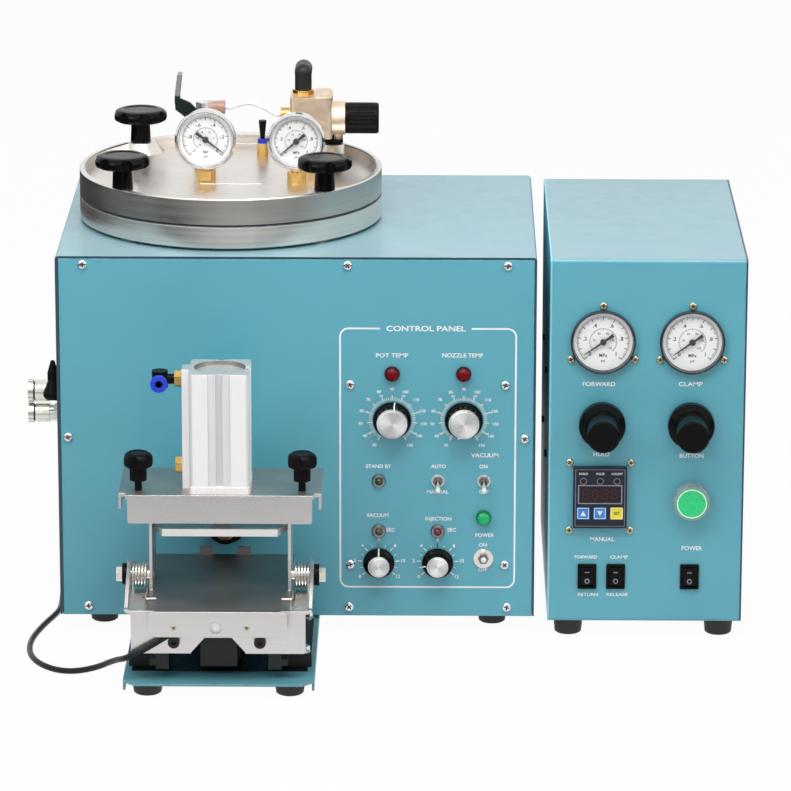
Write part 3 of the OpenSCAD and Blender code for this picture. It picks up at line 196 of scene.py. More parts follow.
class Tree(Nodes):
    """A material round one principled shader."""

    def __init__(self, name):
        self.mat = bpy.data.materials.new(name)
        super().__init__(self.mat, "ShaderNodeOutputMaterial")
        self.b = self.new("ShaderNodeBsdfPrincipled")
        self.link(self.b.outputs[0], self.out.inputs[0])
        self.co = self.new("ShaderNodeTexCoord").outputs["Object"]

    def to(self, socket, value):
        """Feeds a socket of the principled shader."""
        self.link(value, self.b.inputs[socket])

    def turned(self, centre, axis="Z"):
        """Coordinates of a turned piece: radius and height run fast, the angle runs slowly."""
        s = self.new("ShaderNodeVectorMath", operation="SUBTRACT")
        self.link(self.co, s.inputs[0])
        s.inputs[1].default_value = centre
        x = self.new("ShaderNodeSeparateXYZ")
        self.link(s.outputs[0], x.inputs[0])
        u, v, w = {"Z": (0, 1, 2), "Y": (0, 2, 1), "X": (1, 2, 0)}[axis]
        r = self.math("SQRT", self.math("ADD", self.math("MULTIPLY", x.outputs[u], x.outputs[u]),
                                        self.math("MULTIPLY", x.outputs[v], x.outputs[v])))
        a = self.math("ARCTAN2", x.outputs[v], x.outputs[u])
        c = self.new("ShaderNodeCombineXYZ")
        self.link(r, c.inputs[0])
        self.link(x.outputs[w], c.inputs[1])
        self.link(self.math("MULTIPLY", a, 0.0012), c.inputs[2])
        return c.outputs[0], a


def set_in(b, **kw):
    names = {"base": "Base Color", "metal": "Metallic", "spec": "Specular IOR Level", "coat": "Coat Weight",
             "coat_rough": "Coat Roughness", "emit": "Emission Color", "emit_s": "Emission Strength"}
    for k, v in kw.items():
        b.inputs[names[k]].default_value = (*v, 1) if isinstance(v, tuple) else v


def shade(c, f):
    return tuple(max(0.0, min(1.0, x * f)) for x in c)


def painted(name, colour, rough=0.34, grain=900, wear=(0.5, 0.66, 0.70)):
    """Powder coat: fine orange peel, slow drift of the tint, paler scuffs on the edges."""
    m = Tree(name)
    drift = m.span(m.noise(m.co, 7, 4), 0, 1)
    tint = m.mix(drift, shade(colour, 0.96), shade(colour, 1.05))
    soft = m.bevel(0.0009)
    scuff = m.math("MULTIPLY", m.edge(soft), m.span(m.noise(m.co, 160, 4), 0.0, 0.55, 0.42, 0.62))
    m.to("Base Color", m.mix(scuff, tint, wear))
    m.to("Roughness", m.span(m.noise(m.co, 60, 4), rough - 0.05, rough + 0.07))
    m.to("Normal", m.bump(m.noise(m.co, grain, 2), 0.10, 0.0004, soft))
    set_in(m.b, spec=0.55, coat=0.22, coat_rough=0.22)
    return m.mat


def steel_sheet(name, colour, rough=0.2, along=(1, 1, 1), strength=0.03, metal=1.0):
    """Rolled or ground sheet: fine lines one way, faint smears and handling marks."""
    m = Tree(name)
    lines = m.noise(m.scaled(m.co, along), 900, 4, 0.7)
    smear = m.noise(m.co, 22, 5, 0.6)
    m.to("Base Color", m.mix(m.span(lines, 0, 1), shade(colour, 0.96), shade(colour, 1.03)))
    duller = m.math("ADD", m.span(smear, rough - 0.04, rough + 0.08), m.span(lines, -0.02, 0.03))
    m.to("Roughness", duller)
    m.to("Normal", m.bump(lines, strength, 0.0002, m.bevel(0.0009)))
    set_in(m.b, metal=metal)
    return m.mat


def turned_metal(name, colour, centre, rough, fineness, strength):
    """Metal off a lathe: close rings, slow dark streaks round the upright axis that are a painted reflection,
    duller patches.
    """
    m = Tree(name)
    c, a = m.turned(centre)
    rings = m.noise(c, fineness, 3, 0.6)
    patch = m.noise(m.co, 16, 5, 0.6)
    tone = m.mix(m.span(rings, 0, 1), shade(colour, 0.90), shade(colour, 1.06))
    n = m.new("ShaderNodeCombineXYZ")
    m.link(m.math("COSINE", a), n.inputs[0])
    m.link(m.math("SINE", a), n.inputs[1])
    # Slow dark streaks round the axis: a painted reflection of darker surroundings
    painted_reflection_streaks = m.noise(n.outputs[0], 2.6, 3)
    m.to("Base Color", m.mix(m.span(painted_reflection_streaks, 0, 0.18), tone, shade(colour, 0.62)))
    duller = m.math("ADD", m.span(patch, rough - 0.05, rough + 0.08), m.span(rings, -0.03, 0.04))
    m.to("Roughness", duller)
    m.to("Normal", m.bump(rings, strength, 0.0002, m.bevel(0.0006)))
    set_in(m.b, metal=1.0)
    return m.mat


def bright_metal(name, colour, rough=0.14, var=0.06, tarnish=None):
    """Plated or machined metal with faint smears, darker where it tarnishes."""
    m = Tree(name)
    n = m.noise(m.co, 120, 4)
    tone = m.mix(m.span(n, 0, 1), tarnish or shade(colour, 0.86), shade(colour, 1.04))
    m.to("Base Color", tone)
    m.to("Roughness", m.span(m.noise(m.co, 300, 3), rough - 0.04, rough + var))
    m.to("Normal", m.bump(m.noise(m.co, 1500, 2), 0.05, 0.0001, m.bevel(0.0003)))
    set_in(m.b, metal=1.0)
    return m.mat


def plastic(name, colour, rough=0.4, grain=1400, strength=0.12, coat=0.0, var=0.12, spec=0.5):
    """Moulded plastic or rubber: grain, slight shine differences, rubbed edges."""
    m = Tree(name)
    n = m.noise(m.co, 90, 4)
    soft = m.bevel(0.0005)
    tint = m.mix(m.span(n, 0, 1), shade(colour, 1 - var), shade(colour, 1 + var))
    rub = m.math("MULTIPLY", m.edge(soft), 0.25)
    m.to("Base Color", m.mix(rub, tint, tuple(min(1.0, x + 0.05) for x in colour)))
    m.to("Roughness", m.span(m.noise(m.co, 220, 3), rough - 0.06, rough + 0.08))
    m.to("Normal", m.bump(m.noise(m.co, grain, 2), strength, 0.0002, soft))
    set_in(m.b, coat=coat, coat_rough=0.08, spec=spec)
    return m.mat


def glowing(name, colour, glow, strength, rough=0.2, coat=0.1, spec=0.5):
    """Tinted lens or cap with a faint light of its own."""
    m = Tree(name)
    n = m.noise(m.co, 300, 3)
    m.to("Base Color", m.mix(m.span(n, 0, 1), shade(colour, 0.9), shade(colour, 1.1)))
    m.to("Roughness", m.span(m.noise(m.co, 500, 2), rough - 0.05, rough + 0.06))
    set_in(m.b, emit=glow, emit_s=strength, coat=coat, coat_rough=0.05, spec=spec)
    return m.mat


def dipped(name, colour, bare, level):
    """Lever dipped in plastic up to a level, bare grey metal above it."""
    m = Tree(name)
    x = m.new("ShaderNodeSeparateXYZ")
    m.link(m.co, x.inputs[0])
    above = m.span(x.outputs[2], 0, 1, level - 0.0005, level + 0.0005)
    m.to("Base Color", m.mix(above, colour, bare))
    m.to("Roughness", m.span(m.noise(m.co, 220, 3), 0.26, 0.38))
    m.to("Normal", m.bump(m.noise(m.co, 500, 2), 0.1, 0.0002, m.bevel(0.0005)))
    set_in(m.b, spec=0.3)
    return m.mat


def spun(name, colour, centre, phase=0.0, metal=1.0):
    """Facing marks on a small turned cap: fine rings and two bright wedges that turn with it, a painted sheen.
    """
    m = Tree(name)
    c, a = m.turned(centre, "Y")
    rings = m.noise(c, 5200, 2, 0.5)
    painted_sheen_fan = m.math("COSINE", m.math("ADD", m.math("MULTIPLY", a, 2.0), phase))
    tone = m.mix(m.span(painted_sheen_fan, 0, 1, -0.8, 1.0), shade(colour, 0.6), shade(colour, 1.15))
    m.to("Base Color", m.mix(m.span(rings, 0, 0.3), tone, shade(colour, 0.6)))
    m.to("Roughness", m.span(rings, 0.24, 0.34))
    m.to("Normal", m.bump(rings, 0.15, 0.0001, m.bevel(0.0003)))
    set_in(m.b, metal=metal)
    return m.mat


def knurled(name, colour, centre, count):
    """Ring with cut notches round the x axis: dark grooves between bright lands, the grooves' darkness a painted
    shade.
    """
    m = Tree(name)
    c, a = m.turned(centre, "X")
    wave = m.math("SINE", m.math("MULTIPLY", a, float(count)))
    # Grooves darkened in colour: painted shade
    m.to("Base Color", m.mix(m.span(wave, 0, 1, -0.9, -0.2), shade(colour, 0.50), colour))
    m.to("Roughness", m.span(m.noise(m.co, 400, 3), 0.2, 0.34))
    m.to("Normal", m.bump(wave, 0.25, 0.0004))
    set_in(m.b, metal=1.0)
    return m.mat


def clear_glass(name):
    """Thin gauge glass: almost clear, with faint smears."""
    m = Tree(name)
    set_in(m.b, base=(0.9, 0.95, 0.95), spec=0.7)
    m.to("Roughness", m.span(m.noise(m.co, 90, 3), 0.02, 0.06))
    m.to("Alpha", m.span(m.noise(m.co, 40, 2), 0.03, 0.05))
    return m.mat


TEAL = (0.108, 0.415, 0.518)
STEEL = (0.68, 0.67, 0.655)
LINES_X, LINES_Z = (0.03, 1, 1), (1, 1, 0.02)
DIP_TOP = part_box("ball_valve_lever")[1][2] - 0.0186
M = {
    "teal": painted("teal_powder_coat", TEAL),
    # Lighter, greyer teal for upward faces: a painted sheen on the tops
    "teal_sheen_top": painted("teal_painted_sheen_top", (0.225, 0.405, 0.465), 0.36),
    # Brighter teal for the box's left side: painted light in the gap beside the cabinet
    "teal_lit_side": painted("teal_box_side_painted_light", (0.23, 0.68, 0.80)),
    # Darker teal for the clamp's base plate: painted shade from the clamp above it
    "teal_shaded_base": painted("teal_base_painted_shade", (0.115, 0.335, 0.395)),
    # Dark teal for the front rims and seams of cabinet and box: painted shade
    "seam": painted("seam_shade", (0.012, 0.05, 0.085), 0.5, wear=(0.03, 0.09, 0.13)),
    "sheet_x": steel_sheet("table_sheet", STEEL, 0.30, LINES_X),
    "sheet_z": steel_sheet("folded_sheet", STEEL, 0.26, (0.04, 1, 1)),
    "head": steel_sheet("head_sheet", (0.62, 0.61, 0.60), 0.27, LINES_X),
    # Darker steel for the table's top and the tabs at its back: painted shade and dark reflection
    "shaded_top": steel_sheet("sheet_painted_shade", (0.265, 0.243, 0.234), 0.42, LINES_X, 0.06),
    # Darker steel for the head plate's top: painted shade and dark reflection
    "head_top": steel_sheet("head_painted_shade", (0.47, 0.425, 0.405), 0.42, LINES_X, 0.05),
    "press_top": steel_sheet("wiped_sheet", (0.86, 0.85, 0.84), 0.3, LINES_X, 0.04, 0.35),
    "lid": turned_metal("turned_lid", (0.80, 0.765, 0.725), LID_AXIS, 0.30, 600, 0.03),
    # Darker copy of the lid's metal for its upright side: painted shade and dark reflection
    "lid_shaded_side": turned_metal("turned_rim_painted_shade", (0.52, 0.505, 0.478), LID_AXIS, 0.31, 420, 0.012),
    "pot": turned_metal("turned_flange", (0.76, 0.73, 0.69), LID_AXIS, 0.34, 420, 0.03),
    "chrome": bright_metal("plated_steel", (0.80, 0.80, 0.80), 0.10),
    # Dark plated metal for the panel's bezels: the darkness is a painted dark reflection
    "nickel": bright_metal("bezel_painted_dark_reflection", (0.25, 0.25, 0.245), 0.16),
    "lever_tip": steel_sheet("bat_lever", (0.86, 0.86, 0.85), 0.25, (1, 1, 1), 0.02, 0.4),
    "case_white": bright_metal("frosted_case", (0.90, 0.90, 0.91), 0.34),
    "satin": bright_metal("satin_nickel", (0.80, 0.77, 0.72), 0.24),
    "brass": bright_metal("machined_brass", (0.85, 0.56, 0.20), 0.22, 0.08, (0.62, 0.37, 0.10)),
    "copper": bright_metal("nozzle_brass", (0.70, 0.38, 0.21), 0.28, 0.08, (0.42, 0.21, 0.1)),
    "zinc": bright_metal("champagne_die_cast", (0.86, 0.70, 0.54), 0.38, 0.1),
    "yellow_zinc": bright_metal("passivated_steel", (0.55, 0.50, 0.34), 0.24, 0.08),
    "band": bright_metal("heat_stained_band", (0.50, 0.45, 0.38), 0.4, 0.1, (0.32, 0.25, 0.18)),
    "spring": bright_metal("drawn_wire", (0.72, 0.70, 0.66), 0.20),
    "anodised": steel_sheet("clear_anodised", (0.97, 0.965, 0.96), 0.42, LINES_Z, 0.03, 0.25),
    # Darker copies of the anodised metal for the channel and its slot: painted shade in the recess
    "groove": steel_sheet("channel_painted_shade", (0.80, 0.80, 0.805), 0.45, LINES_Z, 0.03, 0.25),
    "slot": steel_sheet("slot_painted_shade", (0.76, 0.76, 0.77), 0.45, LINES_Z, 0.03, 0.25),
    "cyl_top": steel_sheet("end_cap", (0.66, 0.66, 0.65), 0.34, (1, 1, 1), 0.04, 0.6),
    # Grey steel for the walls of the cylinder's bore: painted shade inside the recess
    "bore": steel_sheet("bore_wall_painted_shade", (0.30, 0.30, 0.29), 0.3, (1, 1, 0.1), 0.05),
    "shadow_line": steel_sheet("channel_edge", (0.30, 0.30, 0.31), 0.5, LINES_Z, 0.03, 0.2),
    # Near-black steel for screw recesses and grooves: painted shade in the hollows
    "recess": steel_sheet("recess_painted_shade", (0.10, 0.10, 0.105), 0.5, (1, 1, 0.1), 0.06),
    "knurl_a": knurled("coupler_ring_a", (0.80, 0.77, 0.72), P(0, 40, 185), 12),
    "knurl_b": knurled("coupler_ring_b", (0.80, 0.77, 0.72), P(0, 40, 166), 12),
    "oxide": plastic("black_oxide", (0.011, 0.011, 0.012), 0.42, 700, 0.15, spec=0.35),
    "black": plastic("moulded_black", (0.006, 0.006, 0.006), 0.30, spec=0.07),
    "gloss": plastic("polished_black", (0.004, 0.004, 0.004), 0.16, 500, 0.05, 0.03, spec=0.09),
    "rubber": plastic("foot_rubber", (0.014, 0.014, 0.014), 0.62, 900, 0.3),
    "sheath": plastic("cord_sheath", (0.006, 0.006, 0.007), 0.30, 1200, 0.1, spec=0.25),
    "lever": dipped("dipped_lever", (0.005, 0.015, 0.013), (0.27, 0.27, 0.275), DIP_TOP),
    "tube": plastic("air_tube", (0.93, 0.94, 0.94), 0.3, 600, 0.02, 0.0, 0.02),
    "blue": plastic("release_ring", (0.008, 0.045, 0.66), 0.3, 900, 0.06, 0.1),
    "brown": plastic("fitting_body", (0.46, 0.27, 0.20), 0.35, 900, 0.06, 0.1),
    "glass": clear_glass("gauge_glass"),
    "board": plastic("circuit_board", (0.02, 0.16, 0.07), 0.4, 500, 0.1),
    "white": plastic("screen_print", (0.94, 0.96, 0.96), 0.55, 900, 0.02, 0.0, 0.02),
    "dial": plastic("dial_white", (0.94, 0.945, 0.94), 0.5, 900, 0.01, 0.0, 0.01),
    "ink": plastic("dial_ink", (0.015, 0.015, 0.018), 0.6),
    "fine_ink": plastic("dial_fine_ink", (0.11, 0.11, 0.12), 0.6),
    "gauge_rim": plastic("gauge_rim", (0.012, 0.018, 0.03), 0.2, 600, 0.04, 0.3),
    "grey_ring": plastic("button_collar", (0.40, 0.42, 0.44), 0.25, 800, 0.05, 0.2),
    "red_lamp": glowing("red_lamp", (0.13, 0.001, 0.004), (0.3, 0.0, 0.01), 0.08, 0.26, 0.02, 0.14),
    # Dimmer copies of the lamp lenses for their outer rings: painted shade round a brighter centre
    "red_rim": glowing("red_lamp_rim_painted_shade", (0.045, 0.0006, 0.002), (0.1, 0.0, 0.004), 0.05, 0.26, 0.02, 0.14),
    "green_lamp": glowing("green_lamp", (0.006, 0.32, 0.11), (0.0, 0.62, 0.18), 0.24, 0.15, 0.05, 0.25),
    "green_rim": glowing("green_lamp_rim_painted_shade", (0.003, 0.12, 0.04), (0.0, 0.3, 0.09), 0.12, 0.15, 0.05, 0.25),
    "led_green": glowing("led_green", (0.01, 0.06, 0.035), (0.0, 0.1, 0.05), 0.05, 0.15),
    "led_amber": glowing("led_smoke", (0.07, 0.08, 0.04), (0.1, 0.1, 0.02), 0.05, 0.15),
    "led_red": glowing("led_red", (0.14, 0.005, 0.035), (0.3, 0.0, 0.05), 0.08, 0.15),
    "lens_lit": glowing("table_lens", (0.80, 0.82, 0.83), (0.9, 0.93, 1.0), 0.25, 0.2),
    "green_cap": glowing("button_cap", (0.015, 0.50, 0.17), (0.02, 0.62, 0.2), 0.28, 0.3),
    "timer_face": plastic("timer_face", (0.008, 0.013, 0.026), 0.36, 900, 0.04, 0.0, spec=0.35),
    "timer_grey": plastic("timer_border", (0.30, 0.33, 0.38), 0.4, 900, 0.04),
    "display": plastic("display_window", (0.022, 0.004, 0.009), 0.2, 400, 0.02, 0.0, spec=0.35),
    "segment": plastic("display_segment", (0.034, 0.006, 0.011), 0.3, 400, 0.02, 0.0),
    "key_blue": plastic("key_blue", (0.04, 0.26, 0.74), 0.4, 900, 0.05),
    "key_yellow": plastic("key_yellow", (0.93, 0.76, 0.03), 0.4, 900, 0.05),
}
# Dial knobs: node, place on the panel, pointer's angle, radius of the skirt and of the cap
DIALS = [("pot_temp_knob", (280, 172), 8, 16, 11.3), ("nozzle_temp_knob", (340, 172), 197, 16, 11.3),
         ("vacuum_time_knob", (269, 47), 0, 13.2, 7.6), ("inject_time_knob", (318.5, 47), -100, 13.2, 7.6)]
for i, d in enumerate(DIALS):
    x, z = d[1]
    tone, metal = (0.97, 0.6) if i < 2 else (1.0, 0.3)
    M["spun_%d" % i] = spun("spun_cap_%d" % (i + 1), (tone, tone, tone), P(x, 0, z), 0.7 + 1.1 * i, metal)


# Piece helpers
def dress(node, base, *rules):
    """Gives a CAD node its materials; a rule is a material and a test on a face's centre, in millimetres."""
    o = NODE[node]
    o.data.materials.clear()
    for k in (base, *[r[0] for r in rules]):
        o.data.materials.append(M[k])
    for f in o.data.polygons:
        i = 0
        if rules:
            c = f.center
            x, y, z = c.x * 1000 + SHIFT[0], c.y * 1000 + SHIFT[1], c.z * 1000 + SHIFT[2]
            for k, r in enumerate(rules):
                if r[1](x, y, z, f.normal):
                    i = k + 1
        f.material_index = i


def add(name, bm, mats):
    """An object of the scene from a bmesh, with its materials."""
    me = bpy.data.meshes.new(name)
    bm.normal_update()
    bm.to_mesh(me)
    bm.free()
    for m in mats:
        me.materials.append(m)
    o = bpy.data.objects.new(name, me)
    scene.collection.objects.link(o)
    return o


def piece(name, bm, mats, body, smooth=True):
    """A piece of the visual model, on its body where one carries it."""
    o = add(name, bm, [M[m] for m in (mats if isinstance(mats, list) else [mats])])
    if smooth:
        o.data.shade_smooth()
        o.data.set_sharp_from_angle(angle=math.radians(38))
    if body:
        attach(o, body)
    return o


def quad_strip(bm, pts, width, to3, closed=False, mi=0):
    """A flat line of that width along 2-D points, mitred, placed by to3(u, v)."""
    n = len(pts)
    lefts, rights = [], []
    for i, p in enumerate(pts):
        a = pts[(i - 1) % n] if closed or i > 0 else p
        b = pts[(i + 1) % n] if closed or i < n - 1 else p
        d1 = Vector((p[0] - a[0], p[1] - a[1]))
        d2 = Vector((b[0] - p[0], b[1] - p[1]))
        d1 = d1.normalized() if d1.length else d2.normalized()
        d2 = d2.normalized() if d2.length else d1
        t = (d1 + d2).normalized()
        nn = Vector((-t.y, t.x))
        k = width / 2 / max(0.5, nn.dot(Vector((-d1.y, d1.x))))
        lefts.append(bm.verts.new(to3(p[0] + nn.x * k, p[1] + nn.y * k)))
        rights.append(bm.verts.new(to3(p[0] - nn.x * k, p[1] - nn.y * k)))
    for i in range(n if closed else n - 1):
        j = (i + 1) % n
        bm.faces.new((lefts[i], rights[i], rights[j], lefts[j])).material_index = mi


def polar(c, r, a):
    return (c[0] + r * math.cos(math.radians(a)), c[1] + r * math.sin(math.radians(a)))


def corners(x, z, w, h):
    """Corners of a rectangle from its centre and half sizes."""
    return [(x + sx * w, z + sz * h) for sx, sz in ((-1, -1), (1, -1), (1, 1), (-1, 1))]


def disc(bm, c, r, to3, seg=48, mi=0):
    v = [bm.verts.new(to3(*polar(c, r, 360 * k / seg))) for k in range(seg)]
    bm.faces.new(v).material_index = mi


def ring(bm, c, r, width, to3, seg=48, mi=0, a0=0, a1=360):
    full = a1 - a0 >= 360
    pts = [polar(c, r, a0 + (a1 - a0) * k / seg) for k in range(seg if full else seg + 1)]
    quad_strip(bm, pts, width, to3, full, mi)


BOLD = 0.018


def words(bm, text, size, at, to3, mi=0, wide=None):
    """Flat figures and plain legends, centred at a 2-D point, drawn out to a width where one is given."""
    cu = bpy.data.curves.new("glyphs", "FONT")
    cu.body = text
    cu.size = size
    cu.align_x = "CENTER"
    cu.align_y = "CENTER"
    cu.resolution_u = 3
    cu.offset = BOLD * size
    ob = bpy.data.objects.new("glyphs", cu)
    scene.collection.objects.link(ob)
    me = bpy.data.meshes.new_from_object(ob.evaluated_get(bpy.context.evaluated_depsgraph_get()))
    xs = [v.co.x for v in me.vertices]
    squeeze = wide / (max(xs) - min(xs)) if wide else 1.0
    vs = [bm.verts.new(to3(at[0] + v.co.x * squeeze, at[1] + v.co.y)) for v in me.vertices]
    for f in me.polygons:
        bm.faces.new([vs[i] for i in f.vertices]).material_index = mi
    bpy.data.objects.remove(ob)
    bpy.data.curves.remove(cu)
    bpy.data.meshes.remove(me)


def box_at(bm, lo, hi, mi=0):
    """A block between two corners in working millimetres."""
    v = [bm.verts.new(P(x, y, z)) for x in (lo[0], hi[0]) for y in (lo[1], hi[1]) for z in (lo[2], hi[2])]
    for f in ((0, 1, 3, 2), (4, 6, 7, 5), (0, 4, 5, 1), (2, 3, 7, 6), (0, 2, 6, 4), (1, 5, 7, 3)):
        bm.faces.new([v[i] for i in f]).material_index = mi


def sweep(bm, pts, radius, sides=16):
    """A round tube along 3-D points in metres, its frames carried without twist."""
    pts = [Vector(p) for p in pts]
    t = [(pts[min(i + 1, len(pts) - 1)] - pts[max(i - 1, 0)]).normalized() for i in range(len(pts))]
    n = t[0].orthogonal().normalized()
    angles = [2 * math.pi * k / sides for k in range(sides)]
    rows = []
    for i, p in enumerate(pts):
        n = (n - n.dot(t[i]) * t[i]).normalized()
        b = t[i].cross(n)
        rows.append([bm.verts.new(p + radius * (math.cos(a) * n + math.sin(a) * b)) for a in angles])
    for a, c in zip(rows, rows[1:]):
        for k in range(sides):
            bm.faces.new((a[k], a[(k + 1) % sides], c[(k + 1) % sides], c[k]))
    bm.faces.new(rows[0][::-1])
    bm.faces.new(rows[-1])


def smooth_path(pts, per=6):
    """Catmull-Rom through the route's own points."""
    pts = [Vector(p) for p in pts]
    ext = [2 * pts[0] - pts[1]] + pts + [2 * pts[-1] - pts[-2]]
    out = []
    for i in range(1, len(ext) - 2):
        a, b, c, d = ext[i - 1:i + 3]
        for k in range(per):
            u = k / per
            square, cube = 2 * a - 5 * b + 4 * c - d, 3 * b - a - 3 * c + d
            out.append(0.5 * (2 * b + (c - a) * u + square * u * u + cube * u ** 3))
    out.append(pts[-1])
    return out


def front(y):
    """Places 2-D points on an upright plane that faces the front."""
    return lambda u, v: P(u, y, v)


def stand(at, axis):
    """Places (u, v, w) around a point: w runs out along the axis."""
    a = Vector(axis)
    e1 = Vector((1, 0, 0)) if abs(a.z) > 0.9 else Vector((0, 0, 1)).cross(a)
    e2 = a.cross(e1)
    o = P(*at)
    return lambda u, v, w: o + (u * e1 + v * e2 + w * a) / 1000


def lathe(bm, to3, profile, seg=24, mi=0):
    """Rings of (radius, height) joined up; returns the rings."""
    rows = []
    for r, w in profile:
        if r < 1e-6:
            rows.append([bm.verts.new(to3(0, 0, w))])
        else:
            rows.append([bm.verts.new(to3(*polar((0, 0), r, 360 * k / seg), w)) for k in range(seg)])
    for a, b in zip(rows, rows[1:]):
        for k in range(seg):
            q = (k + 1) % seg
            f = [a[k], a[q], b[q], b[k]] if len(a) > 1 and len(b) > 1 else (
                [a[0], b[q], b[k]] if len(a) == 1 else [a[k], a[q], b[0]])
            bm.faces.new(f).material_index = mi
    return rows


def screw(bm, at, axis, r=3.3, h=2.0, shank=1.2, mi=0, turn=0.0, pit=3):
    """Pan head with a cross recess, and its shank."""
    to3 = stand(at, axis)
    seg, neck = 24, 1.5
    rim = lathe(bm, to3, [(0, -shank), (neck, -shank), (neck, 0), (r, 0), (r, 0.45 * h), (0.93 * r, 0.68 * h),
                          (0.80 * r, 0.87 * h), (0.64 * r, 0.97 * h)], seg, mi)[-1]
    cl, cw = 0.55 * r, 0.15 * r
    plan = [(cl, -cw), (cl, cw), (cw, cw), (cw, cl), (-cw, cl), (-cw, cw), (-cl, cw), (-cl, -cw), (-cw, -cw),
            (-cw, -cl), (cw, -cl), (cw, -cw)]
    ca, sa = math.cos(math.radians(turn)), math.sin(math.radians(turn))
    plan = [(u * ca - v * sa, u * sa + v * ca) for u, v in plan]
    top = [bm.verts.new(to3(u, v, h)) for u, v in plan]
    low = [bm.verts.new(to3(0.8 * u, 0.8 * v, 0.42 * h)) for u, v in plan]
    edges = [bm.edges.get((rim[k], rim[(k + 1) % seg])) for k in range(seg)]
    edges += [bm.edges.new((top[k], top[(k + 1) % 12])) for k in range(12)]
    out = bmesh.ops.triangle_fill(bm, use_beauty=True, use_dissolve=False, edges=edges)
    for f in out["geom"]:
        if isinstance(f, bmesh.types.BMFace):
            f.material_index = mi
    # The cross recess's walls and floor take material pit, the dark recess colour: painted shade
    for k in range(12):
        q = (k + 1) % 12
        bm.faces.new((top[k], top[q], low[q], low[k])).material_index = pit
    for k in (0, 3, 6, 9):
        bm.faces.new((low[(k + 11) % 12], low[k], low[(k + 1) % 12], low[(k + 2) % 12])).material_index = pit
    bm.faces.new((low[11], low[2], low[5], low[8])).material_index = pit


# The black cord and the white tube come first: their routes are the part's own
CORD = [
    (-8.5, 196, 8), (-8.5, 187, 8), (-8.4, 172, 3.5), (-8, 158, -3.5), (-7.4, 144, -9), (-6.6, 130, -12),
    (-6, 114, -12.5), (-5.4, 98, -12.5), (-4.8, 82, -12.5), (-4.4, 66, -12.5), (-4.7, 54, -12.5),
    (-6.4, 42, -12.5), (-9.3, 30, -12.5), (-12.6, 18, -12.5), (-15.6, 6, -12.5), (-18.4, -7, -12.5),
    (-20.6, -19, -12.5), (-22, -31, -12.5), (-22.5, -43, -12.5), (-22, -55, -12.5), (-20.3, -67, -12.5),
    (-17, -79, -12.5), (-12, -90, -12.5), (-5, -100, -12.5), (4, -108, -12.5), (14, -114.5, -11.5),
    (24, -119, -9.5), (34, -124, -6), (43, -131, -1), (50, -139, 4.5), (57, -149, 10), (63.5, -160, 15),
    (70.5, -165, 19.5), (79, -166, 24), (87.5, -166, 29), (95.5, -166, 34), (104, -166, 39.5),
    (112, -166, 43.5), (120, -166, 45.5), (127, -166, 45.5)]
line = smooth_path([P(*p) for p in CORD])
bm = bmesh.new()
sweep(bm, line, 0.0025, 20)
cord = piece("lamp_cord", bm, "sheath", None)
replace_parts(cord, "sensor_cord")
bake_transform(cord)

TUBE = [
    (134, 190, 397), (138, 190, 397), (142, 190, 398), (146, 190, 399.3), (150, 190, 400.4),
    (154, 190, 400.8), (158, 190, 400.4), (162, 190, 399.2), (166, 190, 397.4), (170, 190, 395.2),
    (174, 190, 393), (178, 190, 391), (182, 190, 391)]
line = smooth_path([P(*p) for p in TUBE])
bm = bmesh.new()
sweep(bm, line, 0.002, 16)
tube = piece("air_tube", bm, "tube", "lid")
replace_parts(tube, "lid_tube")

# Torsion springs: a leg on the carriage's floor, the coil round the pivot, a leg to the table
PIVOT_Y, PIVOT_Z, COIL_R, COIL_X = -100.0, 68.0, 9.9, 72.05
COIL_PITCH, WHOLE_TURNS = 2.52, 4
FOOT_Y, FOOT_Z = -142.0, 60.25
far = math.hypot(FOOT_Y - PIVOT_Y, FOOT_Z - PIVOT_Z)
leave = math.degrees(math.atan2(FOOT_Z - PIVOT_Z, FOOT_Y - PIVOT_Y)) % 360
leave += math.degrees(math.acos(COIL_R / far))
wound = (180 - leave) % 360 + 360 * WHOLE_TURNS


def coil(k):
    a = math.radians(180 - wound * k)
    x = COIL_X - COIL_PITCH * wound / 360 * k
    return (x, PIVOT_Y + COIL_R * math.cos(a), PIVOT_Z + COIL_R * math.sin(a))


end = coil(1)
leg = end[0]
heel = (leg, FOOT_Y + 3, FOOT_Z)
route = [(COIL_X, PIVOT_Y - COIL_R, z) for z in (56.5, 58, 60, 62, 64, 66)]
route += [coil(k / 150) for k in range(151)]
route += [tuple(a + f * (b - a) for a, b in zip(end, heel)) for f in (0.2, 0.4, 0.6, 0.8)]
route += [heel]
BEND = ((0.25, 1.7), (0.9, 0.8), (1.8, 0.2), (3, 0), (6, 0), (9, 0))
route += [(leg - u, FOOT_Y + v, FOOT_Z) for u, v in BEND]
bm = bmesh.new()
for s in (1, -1):
    sweep(bm, [P(LINE_X + s * x, y, z) for x, y, z in route], 0.00095, 12)
bmesh.ops.recalc_face_normals(bm, faces=bm.faces)
springs = piece("tilt_springs", bm, "spring", None)
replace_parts(springs, "torsion_springs")
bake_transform(springs)

